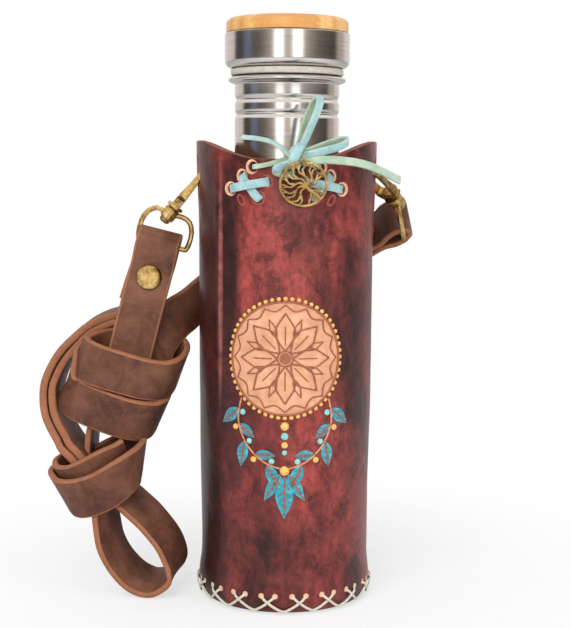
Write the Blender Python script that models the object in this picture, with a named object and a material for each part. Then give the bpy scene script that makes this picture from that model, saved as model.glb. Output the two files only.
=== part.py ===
"""Laced leather water bottle case with its steel bottle and a clip-on shoulder strap.

Metres, +Z up. The origin is the centre of the case's flat base, and the lacing faces -Y.
The strap is clipped into holes at both sides of the rim and is stored in a bundle at -X.
"""
import math

import bmesh
import bpy
from mathutils import Matrix, Vector

# Clearances and facets
GAP = 0.0003                      # left between pieces that rest on each other
CASE_STEPS = 60                   # facets round the case
TURN_STEPS = 32                   # facets round the bottle and its lid
SMALL_STEPS = 16                  # facets round hooks and rivets
WIRE_STEPS = 8                    # facets round a wire

# Leather case
LEATHER = 0.0032                  # wall of the case
RIM_DIP_HEIGHT = 0.2062           # front and back of the rim
EAR_RISE = 0.0083                 # pointed ears at both sides of the rim
EAR_HEIGHT = RIM_DIP_HEIGHT + EAR_RISE
EAR_RADIUS = 0.0421
TOP_RADIUS = 0.0409
MID_RADIUS = 0.0405
LOW_RADIUS = 0.0396
BULGE_RADIUS = 0.0407             # over the stitched base
FOOT_RADIUS = 0.0368
MID_HEIGHT = 0.104
LOW_HEIGHT = 0.022
BULGE_HEIGHT = 0.0085
EAR_DROP = 0.052                  # height over which the ears fade into the round tube
EAR_SPREAD = math.radians(24)
PLEAT_RISE = 0.0012               # the laced front stands proud
PLEAT_DIP = 0.0011                # and sinks beside the lacing
PLEAT_DROP = 0.11
BASE_THICKNESS = 0.0032

# Side holes that the hooks close through
HOOK_DROP = 0.0082                # centre of the holes below the rim's dip
HOOK_HEIGHT = RIM_DIP_HEIGHT - HOOK_DROP
STRIP_WIDTH = 0.0038              # leather left between the two holes of a side
SLOT_WIDTH = 0.0095
SLOT_HEIGHT = 0.0166
SLOT_RISE = 0.0012                # the holes sit a little above the hook's axis

# Base stitching
STITCH_PAIRS = 18
STITCH_HOLE_HEIGHT = 0.0085
STITCH_HOLE_SPACING = 0.0064
THREAD_WIDTH = 0.0012
THREAD_THICKNESS = 0.0006
THREAD_SEAT = 0.0007              # a thread bridges the curve of the foot

# Lacing on the front
LACE_WIDTH = 0.0038
LACE_THICKNESS = 0.0013
LACE_HOLE_RADIUS = 0.0023

# Bottle
BOTTLE_RADIUS = 0.034
BOTTLE_WALL = 0.001
BOTTLE_CORNER = 0.006
SHOULDER_HEIGHT = 0.172
NECK_START_HEIGHT = 0.199
NECK_RADIUS = 0.0243
GROOVE_DEPTH = 0.001
GROOVE_HALF = 0.0018
GROOVE_SHARES = (0.694, 0.866)     # of the neck, from its start to the bead
BEAD_RADIUS = 0.0274
BEAD_HEIGHT = 0.2412
BEAD_HALF = 0.0026
MOUTH_RADIUS = 0.0222
MOUTH_HEIGHT = 0.2442

# Lid
SEAL_RADIUS = 0.0262
SEAL_THICKNESS = 0.003
LID_RADIUS = 0.029
BAND_HEIGHT = 0.0158
BAND_ROUND = 0.0028
BAND_WALL = 0.0012
TOP_THICKNESS = 0.0066
TOP_ROUND = 0.0024
TOP_INSET = 0.0007
PLUG_RADIUS = 0.0214
PLUG_DEPTH = 0.018
PLUG_WALL = 0.002
THREAD_RIDGES = 4
RIDGE_RISE = 0.0005


def clear_scene():
    for old in list(bpy.data.objects):
        bpy.data.objects.remove(old, do_unlink=True)


def material(name, colour, roughness, metallic=0.0):
    mat = bpy.data.materials.new(name)
    mat.use_nodes = True
    shader = mat.node_tree.nodes["Principled BSDF"]
    shader.inputs["Base Color"].default_value = (*colour, 1.0)
    shader.inputs["Roughness"].default_value = roughness
    shader.inputs["Metallic"].default_value = metallic
    mat.diffuse_color = (*colour, 1.0)
    return mat


clear_scene()
CASE_LEATHER = material("case_leather", (0.20, 0.035, 0.03), 0.35)
BASE_LEATHER = material("base_leather", (0.16, 0.04, 0.035), 0.5)
STRAP_LEATHER = material("strap_leather", (0.11, 0.045, 0.03), 0.55)
THREAD = material("waxed_thread", (0.55, 0.47, 0.38), 0.7)
SUEDE = material("suede_lace", (0.36, 0.62, 0.64), 0.9)
BRASS = material("antique_brass", (0.40, 0.26, 0.10), 0.35, 1.0)
STEEL = material("brushed_steel", (0.60, 0.58, 0.56), 0.28, 1.0)
SILICONE = material("silicone", (0.55, 0.55, 0.53), 0.6)
BAMBOO = material("bamboo", (0.68, 0.40, 0.14), 0.45)
PLUG_PLASTIC = material("plug_plastic", (0.08, 0.08, 0.08), 0.5)


def finish_mesh(name, bm, mat, smooth_angle=35):
    """Turn a bmesh into a named object whose faces point out."""
    bmesh.ops.recalc_face_normals(bm, faces=bm.faces)
    mesh = bpy.data.meshes.new(name)
    bm.to_mesh(mesh)
    bm.free()
    mesh.materials.append(mat)
    mesh.shade_smooth()
    mesh.set_sharp_from_angle(angle=math.radians(smooth_angle))
    obj = bpy.data.objects.new(name, mesh)
    bpy.context.scene.collection.objects.link(obj)
    return obj


def boolean(target, tool, operation):
    """Leave a boolean on the target, and hide its tool as a guide."""
    mod = target.modifiers.new(operation.lower(), "BOOLEAN")
    mod.operation = operation
    mod.object = tool
    tool.hide_render = True
    tool.display_type = "WIRE"


def skin_rings(bm, rings, closed_along=False, caps=True):
    """Join rings of vertices with quads; the rings may close into a hoop."""
    count = len(rings[0])
    pairs = list(zip(rings, rings[1:]))
    if closed_along:
        pairs.append((rings[-1], rings[0]))
    for first, second in pairs:
        for i in range(count):
            j = (i + 1) % count
            bm.faces.new((first[i], first[j], second[j], second[i]))
    if caps and not closed_along:
        bm.faces.new(rings[0])
        bm.faces.new(rings[-1])


def turned(name, profile, mat, steps=TURN_STEPS, place=None, closed=False):
    """Turn (radius, height) points about Z; a zero radius is a pole."""
    bm = bmesh.new()
    rings = []
    for radius, height in profile:
        if radius == 0:
            rings.append([bm.verts.new((0, 0, height))])
            continue
        ring = []
        for i in range(steps):
            angle = math.tau * i / steps
            ring.append(bm.verts.new((radius * math.cos(angle), radius * math.sin(angle), height)))
        rings.append(ring)
    pairs = list(zip(rings, rings[1:]))
    if closed:
        pairs.append((rings[-1], rings[0]))
    for low, high in pairs:
        if len(low) == 1 and len(high) == 1:
            continue
        for i in range(steps):
            j = (i + 1) % steps
            corners = [low[i % len(low)], low[j % len(low)], high[j % len(high)], high[i % len(high)]]
            bm.faces.new(list(dict.fromkeys(corners)))
    if place is not None:
        bm.transform(place)
    return finish_mesh(name, bm, mat)


def prism(name, outline, thickness, mat, place=None):
    """Extrude an outline of (x, y) points about Z = 0, by one thickness or by a function of x."""
    bm = bmesh.new()
    halves = [(thickness(x) if callable(thickness) else thickness) / 2 for x, y in outline]
    low = [bm.verts.new((x, y, -half)) for (x, y), half in zip(outline, halves)]
    high = [bm.verts.new((x, y, half)) for (x, y), half in zip(outline, halves)]
    skin_rings(bm, [low, high])
    if place is not None:
        bm.transform(place)
    return finish_mesh(name, bm, mat)


def arc_points(centre, radius, start, end, steps):
    """Points (x, y) on an arc, angles in degrees."""
    points = []
    for i in range(steps + 1):
        angle = math.radians(start + (end - start) * i / steps)
        points.append((centre[0] + radius * math.cos(angle), centre[1] + radius * math.sin(angle)))
    return points


def smooth_path(points, samples):
    """Catmull-Rom curve through the points, samples to each span."""
    padded = [points[0] * 2 - points[1], *points, points[-1] * 2 - points[-2]]
    path = []
    for i in range(1, len(padded) - 2):
        before, start, end, after = padded[i - 1:i + 3]
        for k in range(samples):
            t = k / samples
            path.append(0.5 * (2 * start + (end - before) * t
                               + (2 * before - 5 * start + 4 * end - after) * t * t
                               + (3 * start - before - 3 * end + after) * t ** 3))
    path.append(points[-1])
    return path


def path_tangents(path, closed=False):
    count = len(path)
    tangents = []
    for i in range(count):
        if closed:
            step = path[(i + 1) % count] - path[i - 1]
        else:
            step = path[min(i + 1, count - 1)] - path[max(i - 1, 0)]
        tangents.append(step.normalized())
    return tangents


def ribbon(name, path, width_ways, width, thickness, mat):
    """A flat strap along a path, its width along the given ways."""
    bm = bmesh.new()
    rings = []
    for point, tangent, way in zip(path, path_tangents(path), width_ways):
        across = (way - tangent * way.dot(tangent)).normalized() * (width / 2)
        out = tangent.cross(across).normalized() * (thickness / 2)
        corners = (across + out, out - across, -across - out, across - out)
        rings.append([bm.verts.new(point + corner) for corner in corners])
    skin_rings(bm, rings)
    return finish_mesh(name, bm, mat, smooth_angle=50)


def wire(name, path, radius, mat, closed=False, steps=WIRE_STEPS):
    """A round wire along a path that stays near one plane."""
    bm = bmesh.new()
    rings = []
    tangents = path_tangents(path, closed)
    side = tangents[0].orthogonal().normalized()
    for point, tangent in zip(path, tangents):
        side = (side - tangent * side.dot(tangent)).normalized()
        other = tangent.cross(side)
        ring = []
        for i in range(steps):
            angle = math.tau * i / steps
            offset = side * math.cos(angle) + other * math.sin(angle)
            ring.append(bm.verts.new(point + offset * radius))
        rings.append(ring)
    skin_rings(bm, rings, closed_along=closed)
    return finish_mesh(name, bm, mat, smooth_angle=60)


def ease(share):
    """Smooth step from 0 to 1."""
    share = max(0.0, min(1.0, share))
    return share * share * (3 - 2 * share)


def blend(low, high, share):
    return low + (high - low) * ease(share)


def side_angle(angle):
    """Angle between a direction round the case and the nearest side, +X or -X."""
    return math.acos(min(1.0, abs(math.cos(angle))))


def tube_radius(height):
    """Round radius of the case's outside, foot to rim."""
    if height <= BULGE_HEIGHT:
        left = 1 - max(height, 0) / BULGE_HEIGHT
        return FOOT_RADIUS + (BULGE_RADIUS - FOOT_RADIUS) * math.sqrt(1 - left * left)
    if height <= LOW_HEIGHT:
        return blend(BULGE_RADIUS, LOW_RADIUS, (height - BULGE_HEIGHT) / (LOW_HEIGHT - BULGE_HEIGHT))
    if height <= MID_HEIGHT:
        return blend(LOW_RADIUS, MID_RADIUS, (height - LOW_HEIGHT) / (MID_HEIGHT - LOW_HEIGHT))
    return blend(MID_RADIUS, TOP_RADIUS, (height - MID_HEIGHT) / (RIM_DIP_HEIGHT - MID_HEIGHT))


RIM_CURVE = (math.radians(12), math.radians(75))      # where the rim starts and ends its dip
PLEAT_SPREAD = math.radians(22)
DIP_ANGLE = math.radians(35)
DIP_SPREAD = math.radians(8)
EAR_FLATTEN = 0.001


def rim_height(angle):
    start, end = RIM_CURVE
    return blend(EAR_HEIGHT, RIM_DIP_HEIGHT, (side_angle(angle) - start) / (end - start))


def bump(offset, spread):
    return math.exp(-(offset / spread) ** 2)


def case_radius(angle, height):
    """Outside of the case with its ears and its laced front."""
    ear = ease((height - EAR_HEIGHT + EAR_DROP) / EAR_DROP)
    radius = tube_radius(height)
    radius += ear * (EAR_RADIUS - TOP_RADIUS) * bump(side_angle(angle), EAR_SPREAD)
    radius -= ear * EAR_FLATTEN * math.sin(angle) ** 2
    front = math.remainder(angle + math.pi / 2, math.tau)
    pleat = ease((height - RIM_DIP_HEIGHT + PLEAT_DROP) / PLEAT_DROP)
    radius += pleat * PLEAT_RISE * bump(front, PLEAT_SPREAD)
    radius -= pleat * PLEAT_DIP * bump(abs(front) - DIP_ANGLE, DIP_SPREAD)
    return radius


def case_point(angle, height, offset=0.0):
    """A point beside the case's outside, offset outwards."""
    radius = case_radius(angle, height) + offset
    return Vector((radius * math.cos(angle), radius * math.sin(angle), height))


FOOT_LEVELS = 5
WALL_LEVEL_SHARES = (0.2, 0.36, 0.5, 0.64, 0.76, 0.85, 0.92, 0.97, 1.0)


def case_levels():
    levels = [BULGE_HEIGHT * (1 - math.cos(math.pi / 2 * k / FOOT_LEVELS)) for k in range(FOOT_LEVELS + 1)]
    levels.append((BULGE_HEIGHT + LOW_HEIGHT) / 2)
    levels.append(LOW_HEIGHT)
    levels += [share * RIM_DIP_HEIGHT for share in WALL_LEVEL_SHARES]
    return levels


def case_height(level, angle):
    """A level's height at an angle: the top levels follow the rim."""
    follow = ease((level - MID_HEIGHT) / (RIM_DIP_HEIGHT - MID_HEIGHT))
    return level + follow * (rim_height(angle) - RIM_DIP_HEIGHT)


def case_ring(bm, level, inset):
    ring = []
    for i in range(CASE_STEPS):
        angle = math.tau * i / CASE_STEPS
        height = case_height(level, angle)
        ring.append(bm.verts.new(case_point(angle, height, -inset)))
    return ring


def body_shell():
    bm = bmesh.new()
    levels = case_levels()
    rings = [case_ring(bm, level, 0.0) for level in levels]
    rings += [case_ring(bm, level, LEATHER) for level in reversed(levels)]
    skin_rings(bm, rings, closed_along=True)
    return finish_mesh("body_shell", bm, CASE_LEATHER)


def slot_cutter(name, side, way):
    """A rounded slot beside the strip of leather at one side; way is -1 for the front."""
    middle = way * (STRIP_WIDTH + SLOT_WIDTH) / 2
    half = SLOT_WIDTH / 2
    straight = SLOT_HEIGHT / 2 - half
    outline = arc_points((0, straight), half, 0, 180, 6) + arc_points((0, -straight), half, 180, 360, 6)
    place = Matrix.Translation((side * EAR_RADIUS, middle, HOOK_HEIGHT + SLOT_RISE))
    # The outline's X goes to Y, its Y to Z and its depth to X
    turn = Matrix(((0, 0, 1), (1, 0, 0), (0, 1, 0))).to_4x4()
    return prism(name, outline, 4 * LEATHER, CASE_LEATHER, place @ turn)


# Lacing holes, (distance from the middle, drop below the rim's dip), alike on both sides
OUTER_HIGH_HOLE = (0.0197, 0.0077)
OUTER_LOW_HOLE = (0.0251, 0.0134)
INNER_HIGH_HOLE = (0.0087, 0.0102)
INNER_LOW_HOLE = (0.0122, 0.0172)
TOP_HOLE = (0.0148, 0.0036)
LACE_HOLES = (OUTER_HIGH_HOLE, OUTER_LOW_HOLE, INNER_HIGH_HOLE, INNER_LOW_HOLE, TOP_HOLE)


def front_place(across, drop, side):
    """Angle and height of a place on the laced front."""
    height = RIM_DIP_HEIGHT - drop
    return -math.pi / 2 + side * math.asin(across / tube_radius(height)), height


def lace_hole_cutter(name, hole, side):
    angle, height = front_place(*hole, side)
    centre = case_point(angle, height, -LEATHER / 2)
    turn = Matrix.Rotation(angle, 4, "Z") @ Matrix.Rotation(math.pi / 2, 4, "Y")
    outline = arc_points((0, 0), LACE_HOLE_RADIUS, 0, 330, 11)
    return prism(name, outline, 3 * LEATHER, CASE_LEATHER, Matrix.Translation(centre) @ turn)


def case_body():
    shell = body_shell()
    for side, side_name in ((-1, "left"), (1, "right")):
        for way, way_name in ((-1, "front"), (1, "rear")):
            cutter = slot_cutter(f"cut_slot_{side_name}_{way_name}", side, way)
            boolean(shell, cutter, "DIFFERENCE")
        for number, hole in enumerate(LACE_HOLES):
            cutter = lace_hole_cutter(f"cut_lace_{side_name}_{number}", hole, side)
            boolean(shell, cutter, "DIFFERENCE")


def base_disc():
    """Round leather disc stitched inside the foot."""
    edge = FOOT_RADIUS - LEATHER - GAP
    chamfer = BASE_THICKNESS / 6
    profile = [(0, 0), (edge - chamfer, 0), (edge, chamfer), (edge, BASE_THICKNESS), (0, BASE_THICKNESS)]
    turned("base_disc", profile, BASE_LEATHER, CASE_STEPS)


def foot_thread(name, way, lift):
    """A thread that zigzags round the foot: from each hole past the middle to the foot's edge."""
    pitch = math.tau / STITCH_PAIRS
    hole = way * STITCH_HOLE_SPACING / 2 / BULGE_RADIUS
    low = THREAD_WIDTH
    steps_down = 3
    bm = bmesh.new()
    rings = []
    for pair in range(STITCH_PAIRS):
        middle = -way * pitch * (pair + 0.5)
        for leg_start, leg_end, high, deep in ((hole, -way * pitch / 2, STITCH_HOLE_HEIGHT, low),
                                               (-way * pitch / 2, hole - way * pitch, low, STITCH_HOLE_HEIGHT)):
            for step in range(steps_down):
                share = step / steps_down
                angle = middle + leg_start + (leg_end - leg_start) * share
                height = high + (deep - high) * share
                ring = []
                for up, rise in ((-0.5, 0), (0.5, 0), (0.5, 1), (-0.5, 1)):
                    offset = THREAD_SEAT + lift + rise * THREAD_THICKNESS
                    ring.append(bm.verts.new(case_point(angle, height + up * THREAD_WIDTH, offset)))
                rings.append(ring)
    skin_rings(bm, rings, closed_along=True)
    finish_mesh(name, bm, THREAD)


def base_stitches():
    """Two threads that cross all round the foot."""
    foot_thread("base_stitch_under", 1, 0.0)
    foot_thread("base_stitch_over", -1, THREAD_THICKNESS + GAP)


def lace_strip(name, start, end, side, lift):
    """A flat lace on the leather, both ends turned down into their holes."""
    start_angle, start_height = front_place(*start, side)
    end_angle, end_height = front_place(*end, side)
    span = (case_point(end_angle, end_height) - case_point(start_angle, start_height)).length
    seat = GAP + LACE_THICKNESS / 2
    near = 0.4 * LACE_THICKNESS / span
    clear = 1.15 * LACE_HOLE_RADIUS / span
    stations = ((0.0, -LEATHER / 2), (near, LACE_THICKNESS / 4), (clear, seat + LACE_THICKNESS / 4),
                (0.34, seat + lift), (0.66, seat + lift), (1 - clear, seat + LACE_THICKNESS / 4),
                (1 - near, LACE_THICKNESS / 4), (1.0, -LEATHER / 2))
    path = []
    ways = []
    slope = case_point(end_angle, end_height) - case_point(start_angle, start_height)
    for share, offset in stations:
        angle = start_angle + (end_angle - start_angle) * share
        height = start_height + (end_height - start_height) * share
        path.append(case_point(angle, height, offset))
        out = Vector((math.cos(angle), math.sin(angle), 0))
        ways.append(out.cross(slope).normalized())
    ribbon(name, path, ways, LACE_WIDTH, LACE_THICKNESS, SUEDE)


def lacing():
    for side, side_name in ((-1, "left"), (1, "right")):
        over = LACE_THICKNESS + 2 * GAP
        lace_strip(f"lace_{side_name}_under", OUTER_HIGH_HOLE, INNER_LOW_HOLE, side, 0.0)
        lace_strip(f"lace_{side_name}_over", OUTER_LOW_HOLE, INNER_HIGH_HOLE, side, over)


BOTTLE_SEAT = BASE_THICKNESS + GAP
SHOULDER_SHARES = ((1.0, 0.0), (0.93, 0.3), (0.72, 0.55), (0.38, 0.78), (0.12, 0.92), (0.0, 1.0))


def bottle_outline():
    """Outside of the bottle, foot to mouth, as (radius, height)."""
    points = [(BOTTLE_RADIUS - BOTTLE_CORNER + x, BOTTLE_SEAT + BOTTLE_CORNER + y)
              for x, y in arc_points((0, 0), BOTTLE_CORNER, 270, 360, 4)]
    for out_share, up_share in SHOULDER_SHARES:
        points.append((NECK_RADIUS + (BOTTLE_RADIUS - NECK_RADIUS) * out_share,
                       SHOULDER_HEIGHT + (NECK_START_HEIGHT - SHOULDER_HEIGHT) * up_share))
    neck = BEAD_HEIGHT - BEAD_HALF - NECK_START_HEIGHT
    for share in GROOVE_SHARES:
        height = NECK_START_HEIGHT + neck * share
        points += [(NECK_RADIUS, height - GROOVE_HALF), (NECK_RADIUS - GROOVE_DEPTH, height),
                   (NECK_RADIUS, height + GROOVE_HALF)]
    points.append((NECK_RADIUS, BEAD_HEIGHT - BEAD_HALF))
    bulge = BEAD_RADIUS - NECK_RADIUS
    for angle in (30, 60, 90, 120, 150):
        turn = math.radians(angle)
        points.append((NECK_RADIUS + bulge * math.sin(turn), BEAD_HEIGHT - BEAD_HALF * math.cos(turn)))
    points.append((NECK_RADIUS, MOUTH_HEIGHT))
    return points


def bottle():
    """Single-wall steel bottle, open at its mouth."""
    inside = [(MOUTH_RADIUS, MOUTH_HEIGHT), (MOUTH_RADIUS, NECK_START_HEIGHT + BOTTLE_WALL)]
    for out_share, up_share in reversed(SHOULDER_SHARES[1:-1]):
        inside.append((MOUTH_RADIUS + (BOTTLE_RADIUS - BOTTLE_WALL - MOUTH_RADIUS) * out_share,
                       SHOULDER_HEIGHT - BOTTLE_WALL + (NECK_START_HEIGHT - SHOULDER_HEIGHT) * up_share))
    inner = BOTTLE_RADIUS - BOTTLE_WALL
    inside.append((inner, SHOULDER_HEIGHT))
    corner = BOTTLE_CORNER - BOTTLE_WALL
    inside += [(inner - corner + x, BOTTLE_SEAT + BOTTLE_CORNER + y)
               for x, y in arc_points((0, 0), corner, 0, -90, 4)]
    profile = [(0, BOTTLE_SEAT), *bottle_outline(), *inside, (0, BOTTLE_SEAT + BOTTLE_WALL)]
    turned("bottle_body", profile, STEEL)


SEAL_HEIGHT = MOUTH_HEIGHT + GAP
BAND_FOOT = SEAL_HEIGHT + SEAL_THICKNESS + GAP
BAND_TOP = BAND_FOOT + BAND_HEIGHT


def lid():
    """Silicone ring, steel band, bamboo top and threaded plug."""
    edge = SEAL_THICKNESS / 4
    seal_hole = PLUG_RADIUS + RIDGE_RISE + 2 * GAP
    turned("lid_seal", [(seal_hole, SEAL_HEIGHT), (SEAL_RADIUS - edge, SEAL_HEIGHT),
                        (SEAL_RADIUS, SEAL_HEIGHT + edge),
                        (SEAL_RADIUS, SEAL_HEIGHT + SEAL_THICKNESS - edge),
                        (SEAL_RADIUS - edge, SEAL_HEIGHT + SEAL_THICKNESS),
                        (seal_hole, SEAL_HEIGHT + SEAL_THICKNESS)], SILICONE, closed=True)
    hole = PLUG_RADIUS + GAP
    inner = LID_RADIUS - BAND_WALL
    rounding = [(LID_RADIUS - BAND_ROUND + x, BAND_FOOT + BAND_ROUND + y)
                for x, y in arc_points((0, 0), BAND_ROUND, 270, 360, 4)]
    turned("lid_band", [(hole, BAND_FOOT), *rounding, (LID_RADIUS, BAND_TOP), (inner, BAND_TOP),
                        (inner, BAND_FOOT + BAND_ROUND), (inner - BAND_ROUND + BAND_WALL, BAND_FOOT + BAND_WALL),
                        (hole, BAND_FOOT + BAND_WALL)], STEEL, closed=True)
    top_radius = LID_RADIUS - TOP_INSET
    top_foot = BAND_TOP + GAP
    shoulder = [(top_radius - TOP_ROUND + x, top_foot + TOP_THICKNESS - TOP_ROUND + y)
                for x, y in arc_points((0, 0), TOP_ROUND, 0, 90, 4)]
    turned("lid_top", [(0, top_foot), (top_radius, top_foot), *shoulder, (0, top_foot + TOP_THICKNESS)], BAMBOO)
    flange = inner - BAND_ROUND
    foot = BAND_FOOT - PLUG_DEPTH
    step = PLUG_DEPTH / (2 * THREAD_RIDGES + 2)
    thread = []
    for ridge in range(THREAD_RIDGES):
        start = foot + step * (1 + 2 * ridge)
        thread += [(PLUG_RADIUS, start), (PLUG_RADIUS + RIDGE_RISE, start + step / 2), (PLUG_RADIUS, start + step)]
    bore = PLUG_RADIUS - PLUG_WALL
    flange_foot = BAND_FOOT + BAND_WALL + GAP
    turned("lid_plug", [(bore, foot), (PLUG_RADIUS, foot), *thread, (PLUG_RADIUS, flange_foot),
                        (flange, flange_foot), (flange, BAND_TOP), (0, BAND_TOP),
                        (0, BAND_TOP - 2 * PLUG_WALL), (bore, BAND_TOP - 2 * PLUG_WALL)], PLUG_PLASTIC, closed=True)


# Snap hooks: the hook's own x runs from its collar to its tip, and y goes across to the rear leg
CLAW_INNER = 0.0036               # half the claw's opening
CLAW_WIRE = 0.0021
CLAW_THICKNESS = 0.004
TIP_THICKNESS = 0.0024
HOOK_REACH = 0.0178               # collar to the leather strip
LEFT_BEND = 0.0022                # each claw bends back this far past the leather strip
RIGHT_BEND = 0.0007
NOSE_BACK = 0.0044                # the nose ends this far before the strip's middle
HOOK_BASE = 0.0046
GATE_CLEARANCE = 0.0007
GATE_PIVOT = 0.0012
COLLAR_RADIUS = 0.0041
COLLAR_THICKNESS = 0.0014
STUD_RADIUS = 0.0014
STUD_HEAD_RADIUS = 0.0026
STUD_HEAD_THICKNESS = 0.0016
BOSS_RADIUS = 0.0036
BOSS_LENGTH = 0.0062
RING_WIRE = 0.00125               # radius of the eye ring's wire
RING_HALF_WIDTH = 0.0122
RING_DROP = 0.015                 # boss to bar
# The ring's outline from the boss round the bar, as shares of its half width and drop
RING_SHARES = ((-0.21, 0.02), (-0.52, 0.08), (-0.83, -0.08), (-0.99, -0.4), (-1.0, -0.76), (-0.94, -0.96),
               (-0.84, -1.0), (0.0, -1.0), (0.84, -1.0), (0.94, -0.96), (1.0, -0.76), (0.99, -0.42),
               (0.83, -0.13), (0.52, -0.02), (0.21, -0.03))


def frame_matrix(origin, x_way, y_way):
    x_way = x_way.normalized()
    y_way = (y_way - x_way * y_way.dot(x_way)).normalized()
    z_way = x_way.cross(y_way)
    turn = Matrix((x_way, y_way, z_way)).transposed().to_4x4()
    return Matrix.Translation(origin) @ turn


def set_origin(obj, frame):
    """Give an object its own frame without moving its surface."""
    obj.data.transform(frame.inverted())
    obj.matrix_world = frame


def hook(side_name, frame, past_strip):
    """Snap hook: claw with a swivel stud, and its gate."""
    outer = CLAW_INNER + CLAW_WIRE

    def claw_thickness(reach):
        return blend(CLAW_THICKNESS, TIP_THICKNESS, (reach - HOOK_BASE) / (HOOK_REACH - HOOK_BASE - NOSE_BACK))

    bend = HOOK_REACH + past_strip
    nose = HOOK_REACH - NOSE_BACK
    outline = [(0, COLLAR_RADIUS), (HOOK_BASE * 0.7, outer)]
    outline += arc_points((bend, 0), outer, 90, -90, 10)
    outline += [(nose, -outer), (nose, -CLAW_INNER)]
    outline += arc_points((bend, 0), CLAW_INNER, -90, 90, 8)
    outline += [(HOOK_BASE * 1.25, CLAW_INNER), (HOOK_BASE, CLAW_INNER * 0.7), (HOOK_BASE, -CLAW_INNER),
                (HOOK_BASE * 0.8, -outer), (HOOK_BASE * 0.5, -outer), (0, -COLLAR_RADIUS)]
    claw = prism(f"{side_name}_hook_body", outline, claw_thickness, BRASS, frame)
    stud_end = -COLLAR_THICKNESS - 2 * GAP - BOSS_LENGTH
    head_end = stud_end - STUD_HEAD_THICKNESS
    along = Matrix.Rotation(math.pi / 2, 4, "Y")
    bury = HOOK_BASE / 2
    profile = [(0, head_end), (STUD_HEAD_RADIUS * 0.7, head_end), (STUD_HEAD_RADIUS, head_end + STUD_HEAD_THICKNESS / 2),
               (STUD_HEAD_RADIUS, stud_end), (STUD_RADIUS, stud_end), (STUD_RADIUS, -COLLAR_THICKNESS),
               (COLLAR_RADIUS, -COLLAR_THICKNESS), (COLLAR_RADIUS, 0), (STUD_RADIUS, 0), (STUD_RADIUS, bury), (0, bury)]
    stud = turned(f"tool_{side_name}_stud", profile, BRASS, SMALL_STEPS, frame @ along)
    boolean(claw, stud, "UNION")
    gate_start = HOOK_BASE + GATE_CLEARANCE
    gate_outline = [(gate_start, -CLAW_INNER), (gate_start, -outer), (nose - GAP, -outer), (nose - GAP, -CLAW_INNER)]
    gate = prism(f"{side_name}_hook_gate", gate_outline, claw_thickness, BRASS, frame)
    pivot = frame @ Matrix.Translation((gate_start + GATE_PIVOT, -(CLAW_INNER + outer) / 2, 0))
    set_origin(gate, pivot)


def eye_ring(side_name, hook_frame, bar_way, boss_way):
    """Boss on the hook's stud with the oval ring that holds the strap; gives the bar's centre."""
    middle = -COLLAR_THICKNESS - GAP - BOSS_LENGTH / 2
    boss_centre = hook_frame @ Vector((middle, 0, 0))
    ring_frame = frame_matrix(boss_centre, bar_way, boss_way)
    points = [ring_frame @ Vector((RING_HALF_WIDTH * x, RING_DROP * y, 0)) for x, y in RING_SHARES]
    ring = wire(f"{side_name}_eye_ring", smooth_path(points, 2), RING_WIRE, BRASS)
    half = BOSS_LENGTH / 2
    bore = STUD_RADIUS + GAP
    edge = BOSS_RADIUS * 0.85
    profile = [(bore, -half), (edge, -half), (BOSS_RADIUS, -half * 0.7), (BOSS_RADIUS, half * 0.7), (edge, half),
               (bore, half)]
    along = Matrix.Translation((middle, 0, 0)) @ Matrix.Rotation(math.pi / 2, 4, "Y")
    boss = turned(f"tool_{side_name}_boss", profile, BRASS, SMALL_STEPS, hook_frame @ along, closed=True)
    boolean(ring, boss, "UNION")
    return ring_frame @ Vector((0, -RING_DROP, 0)), ring_frame


STRIP_RADIUS = EAR_RADIUS - LEATHER / 2
LEFT_TILT = math.radians(51)      # the left hook hangs this steeply
RIGHT_TILT = math.radians(30)
RIGHT_BACK = math.radians(50)     # the right hook points this far backwards
LEFT_AXIS = Vector((math.cos(LEFT_TILT), 0, math.sin(LEFT_TILT)))
RIGHT_AXIS = Vector((-math.cos(RIGHT_TILT) * math.cos(RIGHT_BACK),
                     -math.cos(RIGHT_TILT) * math.sin(RIGHT_BACK), math.sin(RIGHT_TILT)))
LEFT_STRIP = Vector((-STRIP_RADIUS, 0, HOOK_HEIGHT))
RIGHT_STRIP = Vector((STRIP_RADIUS, 0, HOOK_HEIGHT))
LEFT_HOOK = frame_matrix(LEFT_STRIP - LEFT_AXIS * HOOK_REACH, LEFT_AXIS, Vector((0, 1, 0)))
RIGHT_HOOK = frame_matrix(RIGHT_STRIP - RIGHT_AXIS * HOOK_REACH, RIGHT_AXIS,
                          Vector((-math.sin(RIGHT_BACK), math.cos(RIGHT_BACK), 0)))


# Shoulder strap, 20 mm bridle leather
STRAP_WIDTH = 0.0196
STRAP_THICKNESS = 0.003
FOLD_CLEARANCE = 0.0003
TAB_LENGTH = 0.03                 # from the bar to the end of the folded-back tab
FRONT_LENGTH = 0.056              # from the bar into the upper wrap
RIVET_DROP = 0.0192
RIVET_RADIUS = 0.006
RIVET_DOME = 0.0016
RIVET_POST = 0.0017
RIGHT_RUN_LENGTH = 0.034

# Wraps: centres as shares of the left bar's height, out from the bar, back and down
UPPER_WRAP_SHARES = (0.112, -0.008, 0.388)
UPPER_WRAP_UP = Vector((0.31, -0.34, 0.88))
UPPER_WRAP_LONG = Vector((0.94, 0, -0.33))
UPPER_WRAP_RADII = (0.022, 0.0135)
LOWER_WRAP_SHARES = (0.186, -0.044, 0.677)
LOWER_WRAP_UP = Vector((-0.33, -0.34, 0.88))
LOWER_WRAP_LONG = Vector((0.93, 0, 0.36))
LOWER_WRAP_RADII = (0.0195, 0.012)
INNER_WRAP_RADII = (0.0155, 0.0082)
INNER_WRAP_RISE = 0.0055
WRAP_STEP = math.radians(15)

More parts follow.
